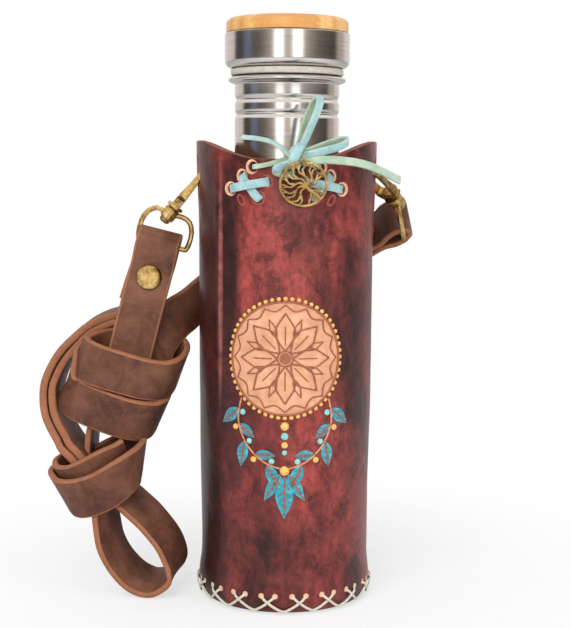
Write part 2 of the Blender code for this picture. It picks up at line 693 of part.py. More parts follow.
# Free runs of the strap as shares of the left bar's height: out from the bar, back and down
OUTER_ARC_SHARES = ((0.157, 0.11, 0.221), (0.236, 0.1, 0.282), (0.295, 0.085, 0.349),
                    (0.320, 0.07, 0.425), (0.299, 0.04, 0.518), (0.262, 0.01, 0.59))
INNER_ARC_SHARES = ((0.192, 0.115, 0.286), (0.258, 0.102, 0.357), (0.291, 0.085, 0.427),
                    (0.272, 0.05, 0.512), (0.236, 0.011, 0.592))
LOOP_SHARES = ((0.146, -0.056, 0.765), (0.144, -0.056, 0.81), (0.132, -0.056, 0.866), (0.1, -0.056, 0.922),
               (0.058, -0.056, 0.967), (0.011, -0.056, 0.981), (-0.033, -0.056, 0.963), (-0.049, -0.056, 0.935),
               (-0.048, -0.056, 0.898), (-0.026, -0.056, 0.85), (0.016, -0.056, 0.793), (0.056, -0.056, 0.75))
LOOP_WAY = Vector((0.49, 0.87, 0))
ARC_WAY = Vector((0.1, 1, 0.1))
BACK_RUN_WAY = Vector((-0.54, 0, 0.84))
BACK_END = math.radians(158)      # the back run leaves the case here
BACK_END_DROP = 0.845             # its height there, as a share of the left bar's height


def bundle_point(shares):
    """A place in the stored strap, from shares of the left bar's height."""
    out, back, down = shares
    reach = LEFT_BAR.z
    return Vector((LEFT_BAR.x - out * reach, back * reach, LEFT_BAR.z - down * reach))


def folded_end(name, bar, width_way, down_way, tab, run):
    """The strap's end, folded round a ring's bar, from its tab to its run."""
    down_way = (down_way - width_way * down_way.dot(width_way)).normalized()
    thick = STRAP_THICKNESS
    fold = RING_WIRE + FOLD_CLEARANCE + thick / 2
    layer = thick / 2 + FOLD_CLEARANCE
    out = down_way.cross(width_way).normalized()
    close = RIVET_DROP - 1.15 * RIVET_RADIUS
    places = [(tab, layer), (RIVET_DROP, layer), (close, layer), (close / 2, (layer + fold) / 2), (fold / 2, fold)]
    places += [(-x, y) for x, y in arc_points((0, 0), fold, 90, -90, 6)]
    places += [(fold / 2, -fold), (close / 2, -(layer + fold) / 2), (close, -layer), (RIVET_DROP, -layer),
               (run, -layer)]
    path = []
    for drop, side in places:
        path.append(bar + down_way * drop + out * side)
    strap = ribbon(name, path, [width_way] * len(path), STRAP_WIDTH, thick, STRAP_LEATHER)
    hole = frame_matrix(bar + down_way * RIVET_DROP, down_way, width_way)
    cutter = prism(f"cut_{name}", arc_points((0, 0), RIVET_POST + GAP, 0, 330, 11), 4 * thick, STRAP_LEATHER, hole)
    boolean(strap, cutter, "DIFFERENCE")
    return path[-1], hole


def rivet(name, place):
    """Domed rivet through both layers of a folded end."""
    seat = STRAP_THICKNESS + FOLD_CLEARANCE + GAP
    dome = [(RIVET_RADIUS * 0.8, seat + RIVET_DOME * 0.7), (RIVET_RADIUS, seat + RIVET_DOME * 0.25),
            (RIVET_RADIUS, seat), (RIVET_POST, seat)]
    profile = [(0, seat + RIVET_DOME), *dome]
    profile += [(radius, -height) for radius, height in reversed(dome)]
    profile.append((0, -seat - RIVET_DOME))
    turned(name, profile, BRASS, SMALL_STEPS, place)


def wrap_band(name, centre, up, long_way, radii, start, end, rise_start, rise_end):
    """A band wound round an oval, dropping only along its hidden back."""
    up = up.normalized()
    long_way = (long_way - up * long_way.dot(up)).normalized()
    short_way = up.cross(long_way)
    steps = round((end - start) / WRAP_STEP)
    path = []
    for i in range(steps + 1):
        angle = start + (end - start) * i / steps
        shift = ease((angle - math.radians(340)) / math.radians(220))
        rise = rise_start + (rise_end - rise_start) * shift
        path.append(centre + long_way * radii[0] * math.cos(angle) + short_way * radii[1] * math.sin(angle)
                    + up * rise)
    return ribbon(name, path, [up] * len(path), STRAP_WIDTH, STRAP_THICKNESS, STRAP_LEATHER)


def wraps():
    half = (STRAP_WIDTH + 2 * GAP) / 2
    wrap_band("strap_upper_wrap", bundle_point(UPPER_WRAP_SHARES), UPPER_WRAP_UP, UPPER_WRAP_LONG,
              UPPER_WRAP_RADII, math.radians(190), math.radians(710), half, -half)
    wrap_band("strap_lower_wrap", bundle_point(LOWER_WRAP_SHARES), LOWER_WRAP_UP, LOWER_WRAP_LONG,
              LOWER_WRAP_RADII, math.radians(185), math.radians(540), 0.0, 0.0)
    wrap_band("strap_inner_wrap", bundle_point(LOWER_WRAP_SHARES), LOWER_WRAP_UP, LOWER_WRAP_LONG,
              INNER_WRAP_RADII, math.radians(185), math.radians(540), INNER_WRAP_RISE, INNER_WRAP_RISE)


def free_run(name, shares, way, samples=2):
    path = smooth_path([bundle_point(place) for place in shares], samples)
    ribbon(name, path, [way] * len(path), STRAP_WIDTH, STRAP_THICKNESS, STRAP_LEATHER)


LEFT_BAR_WAY = Vector((0.97, 0, -0.24)).normalized()
LEFT_BOSS_WAY = Vector((0.24, 0, 0.97))
RIGHT_BAR_WAY = Vector((0.11, -0.65, -0.75)).normalized()
RIGHT_BOSS_WAY = Vector((-0.19, -0.75, 0.63))
RIGHT_RUN = Vector((-0.75, 0.45, -0.5))
RIGHT_TAB = 0.028
BACK_CLEARANCE = 0.0012
BACK_SETTLE_SHARE = 0.5           # the run lies flat on the case from here on
# Where the ends go into the upper wrap, along, across and up its opening, as shares of the strap's width
BACK_RUN_END_SHARES = ((0.7, 0.965, 1.62), (0.46, 0.525, 1.54))
LEFT_END_SHARES = (-0.05, -0.695, 0.73)


def wrap_point(shares):
    """A place in the upper wrap's opening."""
    up = UPPER_WRAP_UP.normalized()
    long_way = (UPPER_WRAP_LONG - up * UPPER_WRAP_LONG.dot(up)).normalized()
    along, across, rise = shares
    step = long_way * along + up.cross(long_way) * across + up * rise
    return bundle_point(UPPER_WRAP_SHARES) + step * STRAP_WIDTH


def back_run(start):
    """The strap behind the case, from the right end to the upper wrap."""
    way = RIGHT_RUN.normalized()
    way = (way - RIGHT_BAR_WAY * way.dot(RIGHT_BAR_WAY)).normalized()
    turn = start + way * STRAP_THICKNESS
    first_reach = math.hypot(turn.x, turn.y)
    first_angle = math.atan2(turn.y, turn.x)
    path = [start + way * 2 * GAP, turn]
    ways = [-RIGHT_BAR_WAY] * 2
    steps = 12
    for i in range(1, steps + 1):
        share = i / steps
        angle = first_angle + (BACK_END - first_angle) * share
        height = turn.z + (LEFT_BAR.z * BACK_END_DROP - turn.z) * share
        settle = min(1, share / BACK_SETTLE_SHARE)
        reach = blend(first_reach, case_radius(angle, height) + STRAP_THICKNESS / 2 + BACK_CLEARANCE, settle)
        path.append(Vector((reach * math.cos(angle), reach * math.sin(angle), height)))
        ways.append((-RIGHT_BAR_WAY).lerp(Vector((0, 0, 1)), ease(settle)))
    path += [wrap_point(place) for place in BACK_RUN_END_SHARES]
    ways += [BACK_RUN_WAY] * len(BACK_RUN_END_SHARES)
    ribbon("strap_back_run", path, ways, STRAP_WIDTH, STRAP_THICKNESS, STRAP_LEATHER)


# Bow: places are shares of its reach from the knot's centre, right, back and up
BOW_REACH = 0.025
KNOT_ACROSS = 0.0042
KNOT_RADII = (0.0044, 0.0036, 0.0058)
KNOT_DROP = -0.0008
UPPER_LOOP_SHARES = ((0.04, 0.0, 0.235), (0.38, -0.08, 1.02))
RIGHT_LOOP_SHARES = ((0.16, 0.0, 0.06), (0.93, 0.07, 0.24))
LEFT_TAIL_SHARES = ((-0.17, 0.0, 0.08), (-0.4, 0.0, 0.24), (-0.65, 0.03, 0.31), (-0.95, 0.12, 0.34))
RIGHT_TAIL_SHARES = ((0.178, -0.03, -0.1), (0.44, -0.06, -0.05), (0.8, 0.0, -0.06), (1.1, 0.1, -0.1),
                     (1.4, 0.24, -0.19), (1.85, 0.5, -0.4))
LOOP_SPREAD = 0.0017
TAIL_WAY = Vector((0, 1, 0.3))

# Charm
CHARM_RADIUS = 0.0112
CHARM_RIM = 0.0013
CHARM_THICKNESS = 0.0016
CHARM_LEAN = math.radians(20)
CHARM_ACROSS = 0.0074
CHARM_DROP = 0.0112
CROWN_SLOTS = 9
CROWN_START = -20                 # the crown's openings spread over these degrees, the trunk pointing down
CROWN_SPAN = 220
LEAN_SLOTS = 2                    # the tree leans over by this many slots
OUTER_SLOT_SHARES = (0.6, 1.0, 0.38)        # inner and outer reach, half of its pitch
INNER_SLOT_SHARES = (0.24, 0.51, 0.6)
ROOT_SLOTS = ((208, 250), (290, 332))
JUMP_RADIUS = 0.0022
JUMP_WIRE = 0.00045


def bow_point(shares):
    return KNOT + Vector(shares) * BOW_REACH


def bow_loop(name, shares):
    """A flat lace that goes out, turns back at its tip and returns behind itself."""
    root, tip = (bow_point(place) for place in shares)
    way = (tip - root).normalized()
    depth = Vector((0, LOOP_SPREAD, 0))
    path = [root - depth, (root + tip) / 2 - depth * 1.2]
    path += [tip + way * x - depth / LOOP_SPREAD * y for x, y in arc_points((0, 0), LOOP_SPREAD, 90, -90, 4)]
    path += [(root + tip) / 2 + depth * 1.2, root + depth]
    across = way.cross(Vector((0, 1, 0))).normalized()
    ribbon(name, path, [across] * len(path), LACE_WIDTH, LACE_THICKNESS, SUEDE)


def bow():
    unit_ball = [(math.sin(math.pi * k / 6), -math.cos(math.pi * k / 6)) for k in range(1, 6)]
    size = Matrix.Diagonal((*KNOT_RADII, 1))
    turned("bow_knot", [(0, -1), *unit_ball, (0, 1)], SUEDE, 10, Matrix.Translation(KNOT) @ size)
    bow_loop("bow_loop_upper", UPPER_LOOP_SHARES)
    bow_loop("bow_loop_right", RIGHT_LOOP_SHARES)
    tail = smooth_path([bow_point(place) for place in LEFT_TAIL_SHARES], 2)
    ribbon("bow_tail_left", tail, [TAIL_WAY] * len(tail), LACE_WIDTH, LACE_THICKNESS, SUEDE)
    tail = smooth_path([bow_point(place) for place in RIGHT_TAIL_SHARES], 3)
    cord("bow_tail_right", tail, LACE_THICKNESS, SUEDE)


def cord(name, path, radius, mat):
    """A plain tube on a curve with filled ends."""
    curve = bpy.data.curves.new(name, "CURVE")
    curve.dimensions = "3D"
    curve.bevel_depth = radius
    curve.bevel_resolution = 2
    curve.use_fill_caps = True
    spline = curve.splines.new("POLY")
    spline.points.add(len(path) - 1)
    for point, place in zip(spline.points, path):
        point.co = (*place, 1)
    curve.materials.append(mat)
    obj = bpy.data.objects.new(name, curve)
    bpy.context.scene.collection.objects.link(obj)


def wedge(bm, start, end, inner, outer, depth):
    """One opening between two branches, angles in degrees."""
    steps = max(1, round(abs(end - start) / 14))
    outline = arc_points((0, 0), outer, start, end, steps) + arc_points((0, 0), inner, end, start, steps)
    low = [bm.verts.new((x, y, -depth)) for x, y in outline]
    high = [bm.verts.new((x, y, depth)) for x, y in outline]
    skin_rings(bm, [low, high])


def charm():
    """Openwork tree in a ring, hung in a jump ring under the knot."""
    centre = Vector((CHARM_ACROSS, CHARM_FRONT, RIM_DIP_HEIGHT - CHARM_DROP))
    up = Vector((0, -math.sin(CHARM_LEAN), math.cos(CHARM_LEAN)))
    frame = frame_matrix(centre, Vector((1, 0, 0)), up)
    disc = prism("charm", arc_points((0, 0), CHARM_RADIUS, 0, 348, 29), CHARM_THICKNESS, BRASS, frame)
    bm = bmesh.new()
    inside = CHARM_RADIUS - CHARM_RIM
    pitch = CROWN_SPAN / CROWN_SLOTS
    first = CROWN_START + pitch * LEAN_SLOTS
    inner, outer, half = OUTER_SLOT_SHARES
    for slot in range(CROWN_SLOTS):
        middle = first + pitch * (slot + 0.5)
        wedge(bm, middle - half * pitch, middle + half * pitch, inner * inside, outer * inside, CHARM_THICKNESS)
    inner, outer, half = INNER_SLOT_SHARES
    for slot in range(CROWN_SLOTS // 2):
        middle = first + 2 * pitch * (slot + 0.75)
        wedge(bm, middle - half * pitch, middle + half * pitch, inner * inside, outer * inside, CHARM_THICKNESS)
    inner = INNER_SLOT_SHARES[0]
    for start, end in ROOT_SLOTS:
        lean = pitch * LEAN_SLOTS
        wedge(bm, start + lean, end + lean, inner * inside, inside, CHARM_THICKNESS)
    bm.transform(frame)
    boolean(disc, finish_mesh("cut_charm", bm, BRASS), "DIFFERENCE")
    ring_up = CHARM_RADIUS - CHARM_RIM + JUMP_RADIUS - JUMP_WIRE - 2 * GAP
    ring_centre = frame @ Vector((0, ring_up, 0))
    ring = [ring_centre + up * x + frame.col[2].xyz * y for x, y in arc_points((0, 0), JUMP_RADIUS, 0, 330, 11)]
    wire("charm_jump_ring", ring, JUMP_WIRE, BRASS, closed=True, steps=6)
    pivot = frame @ Matrix.Translation((0, CHARM_RADIUS - CHARM_RIM / 2, 0))
    return pivot


KNOT = Vector((KNOT_ACROSS, -case_radius(-math.pi / 2, RIM_DIP_HEIGHT) - GAP - KNOT_RADII[1],
               RIM_DIP_HEIGHT - KNOT_DROP))
CHARM_FRONT = (-case_radius(-math.pi / 2, RIM_DIP_HEIGHT - CHARM_DROP) - CHARM_THICKNESS / 2 - GAP
               - CHARM_RADIUS * math.sin(CHARM_LEAN))

case_body()
base_disc()
base_stitches()
lacing()
bottle()
lid()
hook("left", LEFT_HOOK, LEFT_BEND)
hook("right", RIGHT_HOOK, RIGHT_BEND)
LEFT_BAR, LEFT_RING = eye_ring("left", LEFT_HOOK, LEFT_BAR_WAY, LEFT_BOSS_WAY)
RIGHT_BAR, RIGHT_RING = eye_ring("right", RIGHT_HOOK, RIGHT_BAR_WAY, RIGHT_BOSS_WAY)
start, hole = folded_end("strap_end_left", LEFT_BAR, LEFT_BAR_WAY,
                         (wrap_point(LEFT_END_SHARES) - LEFT_BAR).normalized(), TAB_LENGTH, FRONT_LENGTH)
rivet("left_rivet", hole)
wraps()
free_run("strap_outer_arc", OUTER_ARC_SHARES, ARC_WAY)
free_run("strap_inner_arc", INNER_ARC_SHARES, ARC_WAY)
free_run("strap_bottom_loop", LOOP_SHARES, LOOP_WAY)
end, right_hole = folded_end("strap_end_right", RIGHT_BAR, RIGHT_BAR_WAY, RIGHT_RUN.normalized(),
                             RIGHT_TAB, RIGHT_RUN_LENGTH)
rivet("right_rivet", right_hole)
back_run(end)
bow()
charm()
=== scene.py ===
"""Looks of the laced leather bottle case: leather, strap, lacing, ornament, bottle, light and camera.

Metres, +Z up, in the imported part's own frame: the case stands on z = 0 and its lacing faces -Y.
"""
import math

import bmesh
import bpy
from mathutils import Matrix, Vector, noise

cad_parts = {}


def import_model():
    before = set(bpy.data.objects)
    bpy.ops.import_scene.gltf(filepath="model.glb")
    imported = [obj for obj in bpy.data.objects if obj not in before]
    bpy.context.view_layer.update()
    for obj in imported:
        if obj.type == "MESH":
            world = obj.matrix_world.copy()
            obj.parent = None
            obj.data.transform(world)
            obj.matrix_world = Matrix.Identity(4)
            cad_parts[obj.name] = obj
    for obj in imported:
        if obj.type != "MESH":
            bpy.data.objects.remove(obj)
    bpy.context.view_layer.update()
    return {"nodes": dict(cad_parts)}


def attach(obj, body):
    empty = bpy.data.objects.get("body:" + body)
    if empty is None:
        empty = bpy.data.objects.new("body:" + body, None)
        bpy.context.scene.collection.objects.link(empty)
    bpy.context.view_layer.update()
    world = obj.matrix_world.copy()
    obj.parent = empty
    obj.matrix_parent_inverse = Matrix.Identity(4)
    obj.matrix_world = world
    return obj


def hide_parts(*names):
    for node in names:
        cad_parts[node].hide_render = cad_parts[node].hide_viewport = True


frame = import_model()

MM = 0.001
GAP = 0.0003                      # left between pieces that rest on each other


# Node materials

def feed(tree, made, inputs):
    """Each input gets a value, or the output that feeds it."""
    for key, value in inputs.items():
        if isinstance(value, bpy.types.NodeSocket):
            tree.links.new(value, made.inputs[key])
        else:
            made.inputs[key].default_value = value


def node(tree, kind, inputs, output=0, **settings):
    """The output of a new node."""
    made = tree.nodes.new("ShaderNode" + kind)
    for key, value in settings.items():
        setattr(made, key, value)
    feed(tree, made, inputs)
    return made.outputs[output]


def paint(colour):
    """A shader colour from a grey share, three screen values of 0 to 255, or itself."""
    if isinstance(colour, float):
        return (colour, colour, colour, 1.0)
    if len(colour) == 4:
        return colour
    steps = [value / 255 for value in colour]
    return tuple(s / 12.92 if s <= 0.04045 else ((s + 0.055) / 1.055) ** 2.4 for s in steps) + (1.0,)


def ramp(tree, source, stops):
    """Colours or greys by the source's value; each stop is (place, colour)."""
    made = tree.nodes.new("ShaderNodeValToRGB")
    elements = made.color_ramp.elements
    while len(elements) < len(stops):
        elements.new(0.5)
    for element, (place, colour) in zip(elements, stops):
        element.position = place
        element.color = paint(colour)
    feed(tree, made, {"Fac": source})
    return made.outputs["Color"]


def mix(tree, share, low, high, mode="MIX"):
    return node(tree, "Mix", {0: share, 6: low, 7: high}, 2, data_type="RGBA", blend_type=mode)


def map_range(tree, source, *limits, **settings):
    """The source mapped; limits are from low, from high, to low and to high, or the last two."""
    keys = ("From Min", "From Max", "To Min", "To Max")[-len(limits):]
    return node(tree, "MapRange", {"Value": source, **dict(zip(keys, limits))}, "Result", **settings)


def noise_field(tree, where, scale, detail=4, rough=0.55, stretch=None, twist=0.0):
    if stretch:
        where = node(tree, "Mapping", {"Vector": where, "Scale": stretch})
    return node(tree, "TexNoise", {"Vector": where, "Scale": scale, "Detail": detail, "Roughness": rough,
                                   "Distortion": twist}, "Fac")


def spot_field(tree, where, centre, reach):
    """1 at the centre, falling to 0 on the ellipsoid of these reaches."""
    ball = node(tree, "Mapping", {"Vector": where, "Scale": [1 / r for r in reach],
                                  "Location": [-c / r for c, r in zip(centre, reach)]})
    return node(tree, "TexGradient", {"Vector": ball}, "Fac", gradient_type="SPHERICAL")


def finish(name, fields, tone, rough=None, bumps=(), layers=(), spots=(), **values):
    """A material on its Principled shader, whose other values are given by name.

    fields: the noises by name, (scale, detail, roughness, stretch, twist), and "pores", the scale of cells
    tone, layers: (field, stops), the layers with a colour laid over the tone, or without one multiplied in
    rough: (field, low, high); bumps: (field, depth in metres); spots: (centre, reach, share, colour)
    """
    mat = bpy.data.materials.new(name)
    mat.use_nodes = True
    tree = mat.node_tree
    shader = tree.nodes["Principled BSDF"]
    feed(tree, shader, {key.replace("_", " "): value for key, value in values.items()})
    where = node(tree, "TexCoord", {}, "Object")
    made = {key: noise_field(tree, where, *numbers) for key, numbers in fields.items() if key != "pores"}
    if "pores" in fields:
        made["pores"] = node(tree, "TexVoronoi", {"Vector": where, "Scale": fields["pores"]}, "Distance")
    colour = ramp(tree, made[tone[0]], tone[1])
    # each spot lays a colour over an ellipsoid; the case's spots are mostly painted shade and painted
    # highlights
    for centre, reach, share, laid_colour in spots:
        amount = ramp(tree, spot_field(tree, where, centre, reach), ((0.0, 0.0), (0.6, share)))
        colour = mix(tree, amount, colour, paint(laid_colour))
    for field, stops, *laid_colour in layers:
        amount = ramp(tree, made[field], stops)
        if laid_colour:
            colour = mix(tree, amount, colour, paint(laid_colour[0]))
        else:
            colour = mix(tree, 1.0, colour, amount, "MULTIPLY")
    feed(tree, shader, {"Base Color": colour})
    if rough:
        feed(tree, shader, {"Roughness": map_range(tree, made[rough[0]], *rough[1:])})
    normal = {}
    for field, depth in bumps:
        normal = {"Normal": node(tree, "Bump", {"Distance": depth, "Height": made[field], **normal})}
    feed(tree, shader, normal)
    return mat


def raw_leather(name, light, dark):
    """Cut edge or flesh side of the leather, fibrous and pale."""
    return finish(name + "_finish", {"fibre": (1500, 5, 0.7, (1, 1, 2.2)), "patches": (160, 3)},
                  ("fibre", ((0.3, dark), (0.62, light))), ("fibre", 0.7, 0.9), [("fibre", 0.00025)],
                  [("patches", ((0.4, 0.0), (0.75, 0.4)), dark)], Specular_IOR_Level=0.25)


def suede(name, dark, middle, light):
    """Suede lace with a short nap."""
    return finish(name + "_finish", {"nap": (2600, 4, 0.75), "patches": (130, 4, 0.6)},
                  ("patches", ((0.38, dark), (0.5, middle), (0.62, light))), ("nap", 0.85, 1.0),
                  [("nap", 0.0003)], [("nap", ((0.35, 0.3), (0.6, 0.0)), [0.76 * value for value in dark])],
                  Specular_IOR_Level=0.2, Sheen_Weight=0.35, Sheen_Roughness=0.45)


def plain(name, numbers, stops, rough, depth, **values):
    """One noise gives the colour, the roughness and the bump."""
    return finish(name + "_finish", {"noise": numbers}, ("noise", stops), ("noise", *rough),
                  [("noise", depth)], **values)


def painted(name, low, middle, high, scale, stretch=None):
    """Dye brushed onto the leather by hand, thin in places."""
    return plain(name, (scale, 5, 0.65, stretch, 0.3), ((0.3, low), (0.52, middle), (0.74, high)),
                 (0.38, 0.52), 0.00008, Coat_Weight=0.25, Coat_Roughness=0.3)


# Spots laid over the case's colour: centre, reach, share and colour. Most are painted light: painted shade
# in the crease left of the lacing and down both sides, a painted highlight on the ridge beside the crease,
# painted light on the middle of the front and a painted highlight on the swelling under the knot.
# Two only darken the front towards the foot.
CASE_PAINTED_LIGHT_AND_TONE_SPOTS = (
    # painted shade in the crease left of the lacing, and painted shade down the left side
    ((-0.0255, -0.031, 0.155), (0.007, 0.03, 0.065), 0.92, (34, 13, 13)),
    ((-0.0365, -0.022, 0.12), (0.014, 0.04, 0.17), 0.85, (44, 17, 16)),
    # painted highlight along the ridge beside the crease
    ((-0.0295, -0.028, 0.15), (0.0014, 0.03, 0.065), 0.6, (176, 100, 92)),
    # darker towards the foot at the front
    ((-0.012, -0.038, 0.025), (0.03, 0.03, 0.035), 0.55, (62, 24, 23)),
    ((0.012, -0.038, 0.028), (0.03, 0.03, 0.03), 0.35, (76, 30, 28)),
    # painted shade down the right side
    ((0.037, -0.022, 0.1), (0.017, 0.03, 0.15), 0.35, (56, 24, 23)),
    # painted light on the middle of the front
    ((0.0, -0.041, 0.078), (0.036, 0.03, 0.05), 0.3, (146, 54, 50)),
    # painted highlight on the swelling under the knot
    ((0.004, -0.041, 0.168), (0.03, 0.03, 0.04), 0.4, (148, 68, 62)))

# Hand-dyed burgundy under a glossy finish, mottled almost black in places; its spots add painted shade and
# painted highlights
CASE = finish(
    "case_leather_finish",
    {"clouds": (30, 5, 0.62, (1, 1, 0.42), 0.7), "smudge": (100, 6, 0.72, (1, 1, 0.72), 0.6),
     "speckle": (340, 4, 0.7, (1, 1, 0.8)), "fibre": (900, 3, 0.6, (1, 1, 0.25)), "pores": 1300},
    ("clouds", ((0.40, (56, 24, 24)), (0.47, (92, 36, 34)), (0.54, (126, 51, 48)), (0.64, (148, 62, 57)))),
    ("smudge", 0.28, 0.46), [("clouds", 0.001), ("smudge", 0.0005), ("fibre", 0.00012), ("pores", 0.00008)],
    [("smudge", ((0.38, 0.42), (0.49, 0.92), (0.62, 1.3))),
     ("speckle", ((0.36, 0.7), (0.5, 1.0), (0.64, 1.2))),
     ("fibre", ((0.35, 0.0), (0.7, 0.2)), (60, 24, 24))],
    CASE_PAINTED_LIGHT_AND_TONE_SPOTS, Coat_Weight=0.16, Coat_Roughness=0.18, Specular_IOR_Level=0.26)
RIM_EDGE = raw_leather("case_edge", (172, 112, 98), (116, 62, 56))
FLESH = raw_leather("case_inside", (172, 128, 98), (128, 84, 62))
# Brown oiled leather: matt, with pull-up marks and scuffs
STRAP = finish(
    "strap_leather_finish", {"clouds": (60, 5, 0.6, None, 0.5), "marks": (330, 6, 0.75), "pores": 1500},
    ("clouds", ((0.34, (72, 42, 31)), (0.5, (96, 59, 44)), (0.68, (122, 80, 61)))), ("marks", 0.48, 0.72),
    [("clouds", 0.0003), ("marks", 0.00018), ("pores", 0.00006)],
    [("marks", ((0.5, 0.0), (0.75, 0.5)), (134, 93, 72))], Specular_IOR_Level=0.32)
STRAP_EDGE = raw_leather("strap_edge", (176, 118, 86), (124, 78, 56))
DYED_RIM = raw_leather("dyed_rim", (184, 96, 86), (126, 54, 50))
HOLE_RIM = raw_leather("hole_rim", (240, 196, 160), (210, 150, 118))
SUEDE = suede("suede", (154, 190, 192), (170, 205, 208), (184, 216, 218))
SUEDE_BACK = suede("suede_back", (160, 184, 160), (176, 197, 174), (190, 208, 186))
# Brass with brown tarnish in its hollows and rubbed high spots
BRASS = finish(
    "antique_brass_finish", {"patches": (230, 5, 0.65), "fine": (1900, 3)},
    ("patches", ((0.32, (122, 94, 56)), (0.48, (188, 154, 94)), (0.66, (228, 200, 140)))),
    ("patches", 0.42, 0.24), [("patches", 0.00012), ("fine", 0.00005)],
    [("fine", ((0.5, 0.0), (0.72, 0.35)), (112, 84, 50))], Metallic=1.0)
# Satin stainless steel, brushed round its axis
STEEL = plain("brushed_steel", (500, 3, 0.6, (0.12, 0.12, 9)),
              ((0.3, (190, 186, 181)), (0.7, (214, 211, 206))), (0.15, 0.22), 0.000008, Metallic=1.0)
SILICONE = plain("silicone", (700, 4), ((0.35, (178, 168, 158)), (0.7, (200, 190, 180))), (0.5, 0.65),
                 0.00004, Specular_IOR_Level=0.35)
# Strips of bamboo glued side by side, with fine grain
BAMBOO = finish(
    "bamboo_finish", {"strip": (240, 1, 0.4, (0.05, 1, 0.05)), "grain": (900, 4, 0.7, (0.07, 1, 0.5))},
    ("strip", ((0.36, (202, 148, 82)), (0.5, (220, 170, 102)), (0.64, (230, 186, 124)))),
    ("grain", 0.42, 0.55), [("grain", 0.00005)], [("grain", ((0.42, 0.5), (0.6, 0.0)), (188, 126, 58))],
    Coat_Weight=0.2, Coat_Roughness=0.3)
PLUG = plain("plug_plastic", (1200, 3), ((0.4, (34, 34, 35)), (0.7, (46, 46, 47))), (0.45, 0.6), 0.00004)
THREAD = plain("waxed_thread", (2600, 3, 0.6, (1, 1, 0.4)),
               ((0.3, (176, 168, 148)), (0.55, (216, 211, 192)), (0.8, (232, 228, 212))), (0.55, 0.7), 0.0002,
               Specular_IOR_Level=0.35)
BASE = raw_leather("base", (112, 58, 50), (70, 34, 32))
TAN_DYE = painted("tan_inlay", (194, 134, 100), (214, 156, 120), (226, 174, 140), 140)
LINE_DYE = painted("line", (128, 66, 44), (154, 84, 58), (176, 104, 74), 600)
STEM_DYE = painted("stem", (170, 100, 72), (204, 136, 100), (226, 168, 128), 600)
TEAL_DYE = painted("leaf", (12, 118, 142), (28, 156, 174), (86, 196, 200), 260, (1.0, 1.0, 2.4))
TEAL_BEAD = painted("teal_bead", (96, 168, 164), (136, 200, 192), (176, 220, 208), 700)
GOLD_BEAD = painted("gold_bead", (206, 150, 74), (232, 180, 96), (246, 206, 130), 700)


# Mesh helpers: a body is (verts, faces)

WELD = 0.000002                   # points nearer than this become one
SOFT_SHARE = 0.32                 # radius of a strap's long edges, of its thickness
EDGE_SHARE = 0.3                  # how far in its cut edge reaches
CORNER_SHARE = 0.45               # the most of a side that one rounded corner takes


def merge(bodies):
    """Several bodies as the lists of one mesh."""
    verts = []
    faces = []
    for body_verts, body_faces in bodies:
        start = len(verts)
        verts += body_verts
        faces += [tuple(start + i for i in face) for face in body_faces]
    return verts, faces


def make(name, bodies, mats, marks=None, angle=40):
    """A named mesh of these bodies; marks gives each face's place in mats."""
    verts, faces = merge(bodies)
    mesh = bpy.data.meshes.new(name)
    mesh.from_pydata([tuple(v) for v in verts], [], faces)
    for mat in mats:
        mesh.materials.append(mat)
    if marks:
        mesh.polygons.foreach_set("material_index", marks)
    bm = bmesh.new()
    bm.from_mesh(mesh)
    bmesh.ops.remove_doubles(bm, verts=bm.verts, dist=WELD)
    bmesh.ops.recalc_face_normals(bm, faces=bm.faces)
    bm.to_mesh(mesh)
    bm.free()
    mesh.shade_smooth()
    mesh.set_sharp_from_angle(angle=math.radians(angle))
    obj = bpy.data.objects.new(name, mesh)
    bpy.context.scene.collection.objects.link(obj)
    return obj


def shown(obj, body, slot, *nodes):
    """Ride and replace in one line."""
    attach(obj, body)
    if nodes:
        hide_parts(*nodes)
    return obj


def on_leather(name, bodies, mat):
    shown(make(name, bodies, [mat]), "case", "case_leather")


def loft(rings, closed=False, caps=True):
    """Quads between rings of points, with end caps where it stays open."""
    count = len(rings[0])
    verts = [point for ring in rings for point in ring]
    faces = []
    for r in range(len(rings) if closed else len(rings) - 1):
        low = r * count
        high = (r + 1) % len(rings) * count
        faces += [(low + i, low + (i + 1) % count, high + (i + 1) % count, high + i) for i in range(count)]
    if caps and not closed:
        faces += [tuple(reversed(range(count))), tuple(range(len(verts) - count, len(verts)))]
    return verts, faces


def turned(body, place):
    return [place @ v for v in body[0]], body[1]


def ring_points(steps, across=1.0, up=None, height=0.0):
    """Points round a circle, or an ellipse of these two reaches."""
    up = across if up is None else up
    return [Vector((across * math.cos(math.tau * k / steps), up * math.sin(math.tau * k / steps), height))
            for k in range(steps)]


def smooth_path(points, samples):
    """Catmull-Rom curve through the points, samples to each span."""
    points = [Vector(p) for p in points]
    padded = [points[0] * 2 - points[1], *points, points[-1] * 2 - points[-2]]
    path = []
    for i in range(1, len(padded) - 2):
        before, start, end, after = padded[i - 1:i + 3]
        for k in range(samples):
            t = k / samples
            path.append(0.5 * (2 * start + (end - before) * t
                               + (2 * before - 5 * start + 4 * end - after) * t * t
                               + (3 * start - before - 3 * end + after) * t ** 3))
    path.append(points[-1])
    return path


def tangents_of(path, closed=False):
    last = len(path) - 1
    if closed:
        return [(path[(i + 1) % len(path)] - path[i - 1]).normalized() for i in range(len(path))]
    return [(path[min(i + 1, last)] - path[max(i - 1, 0)]).normalized() for i in range(len(path))]


def band_section(width, thickness):
    """Rounded outline of a flat strap as (across, out); its four long edges are softly broken."""
    soft = SOFT_SHARE * thickness
    across = width / 2 - soft
    deep = thickness / 2 - soft
    outline = []
    for x, y, start in ((across, deep, 0), (-across, deep, 90), (-across, -deep, 180), (across, -deep, 270)):
        for angle in (math.radians(start + 30 * k) for k in range(4)):
            outline.append((x + soft * math.cos(angle), y + soft * math.sin(angle)))
    return outline


